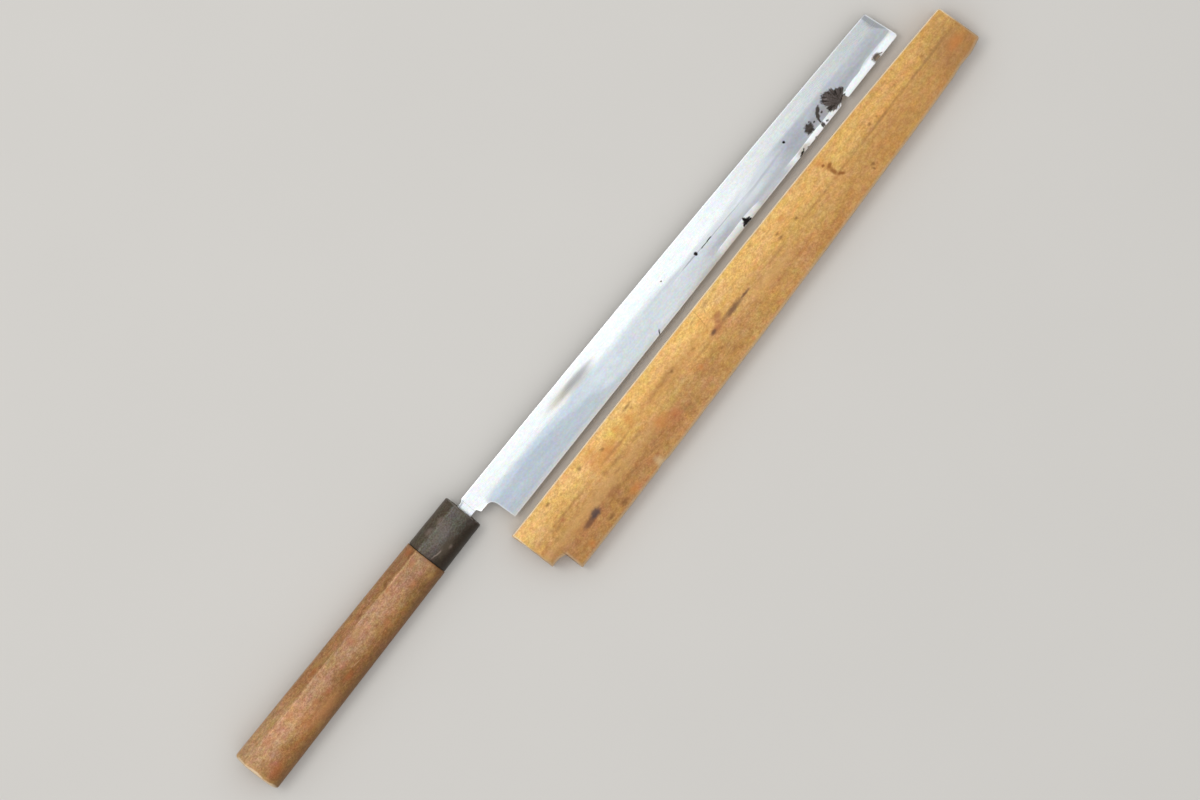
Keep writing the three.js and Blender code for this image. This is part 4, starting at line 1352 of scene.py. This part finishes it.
# Each group of marks on the face of the sheath, measured from its mouth, as on the blade.
FACE_MARKS = [
    ((198, 136, 68), 0.9, 0.38, 1.2, [(100, -9.6, 44, 3.2)]),
    ((224, 178, 112), 0.9, 0.42, 1, [(38, -18.6, 38, 2.6), (161, -16.6, 13, 2.4)]),
    ((206, 124, 58), 0.9, 0.5, 1.6, [
        (48.5, -7, 4, 5), (55, -9, 5, 3), (64.5, -6.5, 1.7, 2.2), (71.5, -7, 1.7, 2.6), (80, -19.5, 4, 3),
        (50, -28.8, 3, 1.3), (19, -29.5, 1.6, 1.5), (109.6, -18.2, 1.1, 1.2), (182.5, -4, 1.6, 1.1),
        (212, -2.5, 2, 2.5), (291.5, -15, 4.5, 2.2),
    ]),
    ((200, 110, 70), 0.8, 0.42, 1.4, [(87, -22.3, 2.8, 2.1), (134, -28, 0.9, 0.8), (18.9, -12.8, 0.9, 0.7)]),
    ((142, 94, 52), 1, 0.42, 1.8, [
        (22, -11.8, 14, 0.6), (17, -13.2, 4.5, 0.9), (60, -11, 11, 0.6), (54.5, -14.7, 6, 0.9),
        (68, -14.8, 3, 0.7), (92, -9.1, 8, 0.9), (98.5, -8.6, 3.5, 1), (115, -14, 7, 0.6),
        (133, -1.8, 2.6, 0.8), (139.5, -0.6, 1.6, 0.5), (43.5, -22.5, 3, 1.4), (51, -18, 1.7, 0.5),
        (168.5, -12.6, 4.5, 0.6), (195, -12, 7, 0.6),
    ]),
    ((166, 104, 66), 0.8, 0.75, 1.4, [(127.5, -13, 4.2, 1.5), (130, -11, 1.5, 1.2), (131.5, -9.2, 2.2, 1.3)]),
    ((100, 70, 52), 0.7, 0.8, 1.2, [(125, -12.7, 1.5, 0.8), (138.6, -12.7, 6, 1.3), (146.5, -12.6, 3, 0.6)]),
    ((114, 76, 52), 0.6, 0.85, 1.3, [(25.8, -22.9, 4, 1.3)]),
    ((78, 62, 62), 0.55, 0.9, 1.3, [(30.4, -22.3, 2.9, 1.6)]),
    ((140, 82, 28), 0.6, 0.85, 1.2, [
        (212.2, -4.2, 0.8, 0.6), (213.9, -6.2, 1.7, 0.9, 15),
        (213.2, -9, 1.2, 1.9), (214.7, -12.2, 1.9, 0.8, -40),
    ]),
    ((116, 74, 36), 0.8, 0.62, 1.3, [
        (20, -3.5, 1, 0.7), (41, -4.3, 1.1, 0.9), (53.8, -6.8, 1.1, 0.7, -20), (75.5, -3.4, 2.2, 0.6),
        (33.5, -28.8, 1.8, 0.7), (42.4, -29.1, 2, 1.1), (99.8, -9.3, 0.8, 0.7), (176, -7.2, 0.9, 0.6),
        (176, -9.4, 1.1, 0.6), (186.7, -9.4, 0.9, 0.6), (226.7, -20.6, 0.8, 0.7), (225.5, -22.2, 0.4, 0.8),
        (239.2, -8.4, 1, 0.6),
    ]),
    ((138, 92, 46), 1, 0.45, 1.3, [
        (27.2, -5.3, 0.7, 0.6), (14.7, -13.9, 1.2, 0.8), (5.3, -15, 1.8, 0.9), (10.5, -15.8, 0.8, 1.1),
        (40.5, -26.3, 0.6, 0.7), (46.3, -13.8, 0.9, 0.6), (56.2, -2.3, 0.9, 0.6), (76.3, -5.2, 0.7, 0.5),
        (67.3, -24.5, 1.1, 0.6), (57, -24, 0.8, 0.9), (52, -23.5, 1, 1.2), (94.2, -24.5, 1.2, 0.5, 30),
        (99.5, -13, 0.6, 0.6), (113.5, -10.3, 0.9, 0.7), (122, -2.5, 1, 0.5), (122, -19.8, 0.8, 0.5),
        (125.7, -4.5, 3.6, 0.18, 80), (129.5, -4, 1, 0.35, 60), (150.5, -25, 0.7, 0.5), (164.6, -1, 1.3, 0.6),
        (203.8, -12, 0.7, 0.5), (244, -8.6, 0.6, 0.5), (244.6, -24.5, 0.9, 0.6), (259.5, -6.4, 0.7, 0.6),
        (276.8, -7.6, 0.6, 0.9, -35), (281.4, -18.6, 1, 0.7),
    ]),
    ((222, 196, 152), 0.9, 0.5, 1.4, [(66, -29.8, 1.6, 2.2)]),
]
TOWARD_TIP = linear(196, 142, 72)
# Painted highlight on the rim of the face along its spine side and along its edge side.
FACE_RIM_HIGHLIGHT = (linear(248, 236, 210), linear(206, 184, 152))
SHEATH_WOOD = SimpleNamespace(
    noises=[
        (0.02, 0.45, 6, 0.6, 0.4, 0), (0.25, 5, 4, 0.65, 0, 3),
        (0.03, 0.08, 5, 0.5, 0, 8), (0.5, 2.6, 2, 0.5, 0, 21),
    ],
    mottles=[((0.25, 0.34, 0.9), 0.12, 0.5, 14, 5), ((0.32, 0.4, 0.85), 0.4, 0.7, 52, 3)],
    specks=[(0.18, 0.5, 0.7, 70), (0.2, 1.3, 0.8, 77)],
    grain_range=(0.94, 1.05), fibre_range=(0.96, 1.03), roughness=(0.52, 0.7), specular=0.25,
    pore_share=0.35, pore_dimming=0.55, pore_depth=2.5,
)


class SheathShape:
    """Outline and faces of the sheath, in millimetres from the spine corner of its mouth."""

    FACE_EASE = (0.55, 1.5)
    FACE_EASE_RUN = (-4, -18)
    BACK_EASE = 0.7
    GLUE_EASE = 0.1
    GLUE_FIT = 0.01
    JOINT_GAP = 0.12
    EDGE_CLEARANCE = 0.7
    TRAVEL = (-2.2, 27.6)
    WORN_NOTCH = (283.6, 4.5, 0.55)
    EDGE_FLAKE = (66, 2.6, 0.5)
    WORN_CORNER = 1.1
    WORN_CORNER_START = 286
    END_CORNER = 1.2
    RIM_STEPS = (0, 0.06, 0.16, 0.3, 0.5, 0.8, 1.2)
    CORE_STEPS = np.array((0, 0.1, 0.3))
    RIM_WIDTH = (0.8, 1.6)
    RIM_START = 0.1
    RIM_RUN = (-8, -22)
    RIDGE_SOFT = (9, 0.5)
    RIDGE_SOFT_RUN = (90, 230)
    UPPER_SLOPE = 0.02
    PLANED_LOW = 0.03
    PLANED_RIPPLES = ((2, 0.03, 61), (-3, 0.015, 23, 3))
    SPINE_RIPPLE = (0.05, 43, 1)
    EDGE_RIPPLE = (0.08, 57, 4)
    MOUTH_RIPPLE = (0.1, 9, 2)
    MOUTH_REACH = 0.35
    REAR_MOUTH_REACH = 0.55
    REAR_MOUTH_RUN = (-9, -4)
    NOTCH_SLANT = 1.4
    NOTCH_SLANT_START = 3.5
    NOTCH_SLANT_POWER = 1.6
    END_LEAN_START = 0.6
    STRIP_GAPS = (0.1, 0.2)

    def __init__(self, sheath, blade):
        self.sheath = sheath
        self.blade = blade

    def along(self, start, end, x):
        """Value that goes evenly from the mouth to the end."""
        return lerp(start, end, x / self.sheath.total_length)

    def bow(self, x):
        share = x / self.sheath.total_length
        return share * (1 - share)

    def spine_side(self, x):
        swell = 3 * self.bow(x) * self.along(self.sheath.mouth_swell, self.sheath.end_swell, x)
        return swell + ripple(x, *self.SPINE_RIPPLE)

    def edge_side(self, x):
        sheath = self.sheath
        width = self.along(sheath.mouth_width, sheath.end_width, x)
        side = -width - 4 * sheath.edge_bow * self.bow(x) + ripple(x, *self.EDGE_RIPPLE)
        side = side + hump(x, *self.WORN_NOTCH) + hump(x, *self.EDGE_FLAKE)
        return side + self.WORN_CORNER * smoothstep(self.WORN_CORNER_START, sheath.total_length, x) ** 2

    def long_side(self, x):
        """Edge side of a board, with the notch at the mouth."""
        notch = self.sheath.notch_depth
        into = self.NOTCH_SLANT * part_way(self.NOTCH_SLANT_START, notch, x) ** self.NOTCH_SLANT_POWER
        return np.where(x < notch, -self.sheath.long_side - into, self.edge_side(x))

    def strip_inside(self, x):
        """Side of the slot that the cutting edge lies along."""
        sheath = self.sheath
        ends = []
        for along, across in ((0, 0), (self.blade.edge_length, self.blade.edge_rise)):
            ahead = along - self.TRAVEL[0] + sheath.corner_x
            beside = across - self.EDGE_CLEARANCE - self.TRAVEL[1] + sheath.corner_y
            ends.append(turned_back(ahead, beside, sheath.turn))
        (x0, y0), (x1, y1) = ends
        return y0 + (y1 - y0) * (x - x0) / (x1 - x0)

    def ridge(self, x):
        return -self.along(self.sheath.mouth_ridge, self.sheath.end_ridge, x)

    def stations(self):
        """Places along a board, close together at its ends, at the notch and where it is worn."""
        end, notch = self.sheath.total_length, self.sheath.notch_depth
        rim = np.array((*self.RIM_STEPS, 1.8))
        slant = notch - self.sheath.notch_ease
        runs = [rim, np.linspace(2.4, slant, 7), np.linspace(slant, notch - 0.02, 7), notch + rim]
        runs += [np.linspace(notch + 2.4, end - 2.4, 150), end - rim]
        for middle, half, _ in (self.EDGE_FLAKE, self.WORN_NOTCH):
            runs.append(np.linspace(middle - 2 * half, middle + 2 * half, 15))
        return merged(runs)

    def board_plan(self, spine_reach):
        """Plan grid of a board, with a column on the ridge and a mouth that reaches out at the spine side."""
        sheath, end = self.sheath, self.sheath.total_length
        x = self.stations()[:, None]
        corner = rounding(end - x, self.END_CORNER) * (x > end - self.END_CORNER)
        upper, lower, ridge = self.spine_side(x) - corner, self.long_side(x) + corner, self.ridge(x)
        rim = np.array((*self.RIM_STEPS, 1.7))
        upper_run = lerp(upper - rim[-1], ridge, np.linspace(0, 1, 12)[1:])
        lower_run = lerp(ridge, lower + rim[-1], np.linspace(0, 1, 14)[1:-1])
        y = np.hstack((upper - rim, upper_run, lower_run, lower + rim[::-1]))
        x = np.broadcast_to(x, y.shape)
        down = np.clip(-y / sheath.long_side, 0, 1)
        mouth = np.clip(1 - x / (sheath.notch_depth - sheath.notch_ease), 0, 1)
        end_share = smoothstep(self.END_LEAN_START * end, end, x)
        lean = (sheath.mouth_lean * mouth + sheath.end_lean * end_share) * down
        spine_share = smoothstep(*self.REAR_MOUTH_RUN, y)
        reach = self.MOUTH_REACH + spine_reach * spine_share + ripple(y, *self.MOUTH_RIPPLE)
        return x + lean - reach * mouth, y

    def front_board(self):
        """Upper board with its planed faces and ridge, and the share of the painted highlight on its rim."""
        x, y = self.board_plan(0)
        gap = border_distance(x, y)
        below = self.ridge(x) - y
        softness = lerp(*self.RIDGE_SOFT, smoothstep(*self.RIDGE_SOFT_RUN, x))
        fall = past_line(below, softness) * math.tan(self.sheath.slope)
        fall = fall + np.clip(-below, 0, None) * self.UPPER_SLOPE
        planed = sum(ripple(x + slant * y, *wave) for slant, *wave in self.PLANED_RIPPLES) - self.PLANED_LOW
        ease = lerp(*self.FACE_EASE, smoothstep(*self.FACE_EASE_RUN, y))
        top = SHEATH_FACE - fall + planed - rounding(gap, ease)
        # The share of the painted highlight along the rounded rim of the face.
        worn = smoothstep(lerp(*self.RIM_WIDTH, smoothstep(*self.RIM_RUN, y)), self.RIM_START, gap)
        shares = np.repeat(np.concatenate((worn.ravel(), 0 * worn.ravel())), 3)
        return *slab(x, y, top, SLOT_ROOF + rounding(gap, self.GLUE_EASE)), shares

    def back_board(self):
        x, y = self.board_plan(self.REAR_MOUTH_REACH)
        gap = border_distance(x, y)
        return slab(x, y, SLOT_FLOOR - rounding(gap, self.GLUE_EASE), rounding(gap, self.BACK_EASE))

    def core(self, x, upper, lower):
        """Spacer between the boards."""
        rim = self.CORE_STEPS
        inner = lerp(upper - rim[-1], lower + rim[-1], np.linspace(0, 1, 9)[1:-1])
        y = np.hstack((upper - rim, inner, lower + rim[::-1]))
        x = np.broadcast_to(x, y.shape)
        end_share = smoothstep(self.sheath.block_start, self.sheath.total_length, x)
        x = x + self.sheath.end_lean * end_share * np.clip(-y / self.sheath.end_width, 0, 1)
        fit = rounding(border_distance(x, y), self.GLUE_EASE) + self.GLUE_FIT
        return slab(x, y, SLOT_ROOF - fit, SLOT_FLOOR + fit)

    def edge_strip(self):
        start = self.sheath.notch_depth + self.STRIP_GAPS[0]
        end = self.sheath.block_start - self.STRIP_GAPS[1]
        rim = self.CORE_STEPS
        x = np.concatenate((start + rim, np.linspace(start + 1, end - 1, 120), end - rim[::-1]))[:, None]
        return self.core(x, self.strip_inside(x), self.edge_side(x) + self.JOINT_GAP)

    def end_block(self):
        start, end = self.sheath.block_start, self.sheath.total_length - self.JOINT_GAP
        rim = np.array((*self.CORE_STEPS, 0.6, 1))
        x = np.concatenate((start + rim, np.linspace(start + 2, end - 2, 12), end - rim[::-1]))[:, None]
        inset = self.JOINT_GAP + rounding(end - x, self.END_CORNER)
        return self.core(x, self.spine_side(x) - inset, self.edge_side(x) + inset)


def mark_face(wood, sheath):
    """Lays on the ridge line and the old marks of the face."""
    slope = (sheath.mouth_ridge - sheath.end_ridge) / sheath.total_length
    from_ridge = wood.slanted(-slope) + sheath.mouth_ridge
    wood.lay(wood.spread(from_ridge, 0.3, -0.5, 0, 0.28) * wood.spread(wood.x, 160, 280), sheath.dark_colour)
    patchy = wood.noise(1, (0.05, 0.2, 0.2), detail=4, shift=66)
    line = wood.spread(abs(from_ridge), 0.1, 1, 0.6, 0) * wood.spread(wood.x, 185, 240)
    line = line * wood.spread(wood.x, 294, 296, 1, 0) * wood.spread(patchy, 0.3, 0.65, 0.3, 1)
    wood.lay(line, mixed(sheath.dark_colour, sheath.stain_colour, 0.5))
    flakes = wood.noise(0.6, (0.6, 1, 1), detail=5, roughness=0.7, shift=2) - 0.5
    wood.stain(FACE_MARKS, wood.ragged(0.9, 0.6, detail=4), flakes)


def paint_rim_highlight(wood):
    """Lays a painted highlight on the rim of the face: cream along the spine side, grey along the edge side.
    """
    share = wood.shares()[0] * wood.spread(wood.fibres, 0.25, 0.6, 0.6, 1)
    share = share * wood.spread(wood.y, -2, -18, 0.9, 0.75) * wood.spread(wood.normal[2], 0.02, 0.35)
    pale = wood.blend(wood.spread(wood.y, -1, -14), *FACE_RIM_HIGHLIGHT)
    wood.lay(share, pale)


def sheath_finish(name, place, sheath, shift, face=False):
    """Bare planed wood: mottled grain, darker toward the edge side, end grain and, on the face, old marks."""
    wood = Wood(name, place, SHEATH_WOOD, shift)
    light, dark, stain = sheath.light_colour, sheath.dark_colour, sheath.stain_colour
    across = wood.spread(wood.y, -1, -24) * wood.spread(wood.x, 50, 140, 1, 0.8)
    across = wood.math("ADD", across, wood.swing(wood.clouds, -0.16, 0.16), clamp=True)
    wood.tone = wood.blend(across, light, dark)
    wood.lay(wood.spread(wood.x, 90, 290, 0, 0.5), TOWARD_TIP)
    worn_tip = wood.spread(wood.x, 266, 286) * wood.spread(wood.y, -3, -11, 0.5, 1)
    wood.lay(worn_tip, (0.73, 0.7, 0.76), "MULTIPLY")
    wood.weather(dark)
    if face:
        mark_face(wood, sheath)
    rings = wood.noise(1, (0.2, 0.35, 2.2), detail=4, distortion=0.8, shift=shift + 40)
    stops = [(0.34, mixed(dark, stain, 0.35)), (0.52, dark), (0.7, mixed(light, dark, 0.7))]
    wood.lay(wood.spread(abs(wood.normal[0]), 0.55, 0.85), wood.ramp(rings, stops))
    # Painted highlight on the rim of the face.
    if face:
        paint_rim_highlight(wood)
    return wood.done()


def sheath_parts(scene):
    """Settings, place and shape of the sheath."""
    blade, _, sheath = read_settings(scene)
    return sheath, Place(-sheath.corner_x, -sheath.corner_y, sheath.turn), SheathShape(sheath, blade)


class KNIFE_OT_sheath_boards(bpy.types.Operator):
    """Make the two boards of the sheath"""

    bl_idname = "knife.sheath_boards"
    bl_label = "Sheath boards"

    def execute(self, context):
        sheath, place, shape = sheath_parts(context.scene)
        board, finish = shape.front_board(), sheath_finish("face_wood", place, sheath, 0, True)
        add_piece("sheath_face", place, board, finish, "sheath", "sheath_front_board")
        board, finish = shape.back_board(), sheath_finish("rear_wood", place, sheath, 60)
        add_piece("sheath_rear", place, board, finish, "sheath", "sheath_back_board")
        return {"FINISHED"}


class KNIFE_OT_sheath_core(bpy.types.Operator):
    """Make the strip and the block between the boards of the sheath"""

    bl_idname = "knife.sheath_core"
    bl_label = "Sheath core"

    def execute(self, context):
        sheath, place, shape = sheath_parts(context.scene)
        core, finish = shape.edge_strip(), sheath_finish("strip_wood", place, sheath, 130)
        add_piece("sheath_strip", place, core, finish, "sheath", "sheath_edge_strip")
        core, finish = shape.end_block(), sheath_finish("block_wood", place, sheath, 190)
        add_piece("sheath_block", place, core, finish, "sheath", "sheath_end_block")
        return {"FINISHED"}


# Stage, in metres

FLOOR_HALF = 3
FACE_HEIGHT = 0.003
DOME_STRENGTH = 1.1
DOME_GREYS = [(0, 0.1), (0.3, 0.3), (0.7, 0.72), (0.9, 1)]
# Each lamp: size, power, place, target and tint.
LAMPS = {
    "overhead": ((0.73, 0.8), 1.2, (-0.085, 0.1, 1.6), (-0.085, 0.1, 0), (1, 1, 1)),
    "spine_side": ((0.5, 0.5), 4, (-0.2, 0.55, 1.5), (0, 0, 0), (1, 0.97, 0.93)),
}


def floor_finish(floor_colour):
    """Pale matt floor with a trace of unevenness."""
    finish = Finish("pale_floor", Place())
    finish.tone = finish.ramp(finish.noise(0.01), [(0.3, dimmed(floor_colour, 0.985)), (0.7, floor_colour)])
    return finish.done(Roughness=0.9, Specular_IOR_Level=0.1)


def add_floor(scene, floor_colour):
    mesh = bpy.data.meshes.new("pale_floor")
    corners = [(FLOOR_HALF * x, FLOOR_HALF * y, 0) for x, y in ((-1, -1), (1, -1), (1, 1), (-1, 1))]
    mesh.from_pydata(corners, [], [(0, 1, 2, 3)])
    mesh.materials.append(floor_finish(floor_colour))
    floor = bpy.data.objects.new("pale_floor", mesh)
    scene.collection.objects.link(floor)


def add_camera(scene, stage):
    """Camera that looks straight down."""
    lens = bpy.data.cameras.new("top_view")
    lens.sensor_fit = "HORIZONTAL"
    lens.lens = lens.sensor_width * stage.view_height / stage.view_width
    camera = bpy.data.objects.new("top_view", lens)
    height = BLADE_BACK * MM + FACE_HEIGHT + stage.view_height
    camera.location = HEEL + Vector((stage.centre_x, stage.centre_y, height))
    camera.rotation_euler = (0, 0, stage.view_turn)
    scene.collection.objects.link(camera)
    scene.camera = camera


def add_lamp(scene, name, size, power, place, target, tint):
    """Rectangular soft lamp that faces a target."""
    lamp = bpy.data.lights.new(name, "AREA")
    lamp.shape = "RECTANGLE"
    lamp.size, lamp.size_y = size
    lamp.energy = power
    lamp.color = tint
    holder = bpy.data.objects.new(name, lamp)
    holder.location = place
    holder.rotation_euler = (Vector(target) - Vector(place)).to_track_quat("-Z", "Y").to_euler()
    scene.collection.objects.link(holder)


def add_dome(scene):
    """Surroundings that are bright overhead and dim toward the horizon."""
    world = bpy.data.worlds.new("studio_dome")
    world.use_nodes = True
    nodes = Nodes(world.node_tree)
    up = nodes.split(nodes.add("ShaderNodeTexCoord", {})["Generated"])[2]
    glow = nodes.ramp(up, [(at, (grey,) * 3) for at, grey in DOME_GREYS])
    nodes.fill(world.node_tree.nodes["Background"], {"Color": glow, "Strength": DOME_STRENGTH})
    scene.world = world


class KNIFE_OT_stage(bpy.types.Operator):
    """Set up the floor, the soft light and the camera"""

    bl_idname = "knife.stage"
    bl_label = "Stage"

    def execute(self, context):
        scene = context.scene
        add_floor(scene, scene.knife_stage.floor_colour)
        add_camera(scene, scene.knife_stage)
        add_dome(scene)
        for name, values in LAMPS.items():
            add_lamp(scene, name, *values)
        scene.view_settings.view_transform = "Standard"
        scene.view_settings.look = "None"
        return {"FINISHED"}


class KNIFE_PT_panel(bpy.types.Panel):
    """Buttons and settings of the knife and its sheath"""

    bl_idname = "KNIFE_PT_panel"
    bl_label = "Knife and Sheath"
    bl_space_type = "VIEW_3D"
    bl_region_type = "UI"
    bl_category = "Knife"

    def draw(self, context):
        for operator in OPERATORS:
            self.layout.operator(operator.bl_idname)
        for group in SETTINGS:
            settings = getattr(context.scene, group)
            box = self.layout.box()
            for name in settings.__annotations__:
                box.prop(settings, name)


OPERATORS = [KNIFE_OT_blade, KNIFE_OT_handle, KNIFE_OT_sheath_boards, KNIFE_OT_sheath_core, KNIFE_OT_stage]
SETTINGS = {
    "knife_blade": BladeSettings,
    "knife_handle": HandleSettings,
    "knife_sheath": SheathSettings,
    "knife_stage": StageSettings,
}


def register():
    for name, group in SETTINGS.items():
        bpy.utils.register_class(group)
        setattr(bpy.types.Scene, name, PointerProperty(type=group))
    for entry in (*OPERATORS, KNIFE_PT_panel):
        bpy.utils.register_class(entry)


def unregister():
    for entry in (KNIFE_PT_panel, *reversed(OPERATORS)):
        bpy.utils.unregister_class(entry)
    for name, group in reversed(SETTINGS.items()):
        delattr(bpy.types.Scene, name)
        bpy.utils.unregister_class(group)


def main():
    register()
    bpy.ops.knife.blade()
    bpy.ops.knife.handle()
    bpy.ops.knife.sheath_boards()
    bpy.ops.knife.sheath_core()
    bpy.ops.knife.stage()


if __name__ == "__main__":
    main()
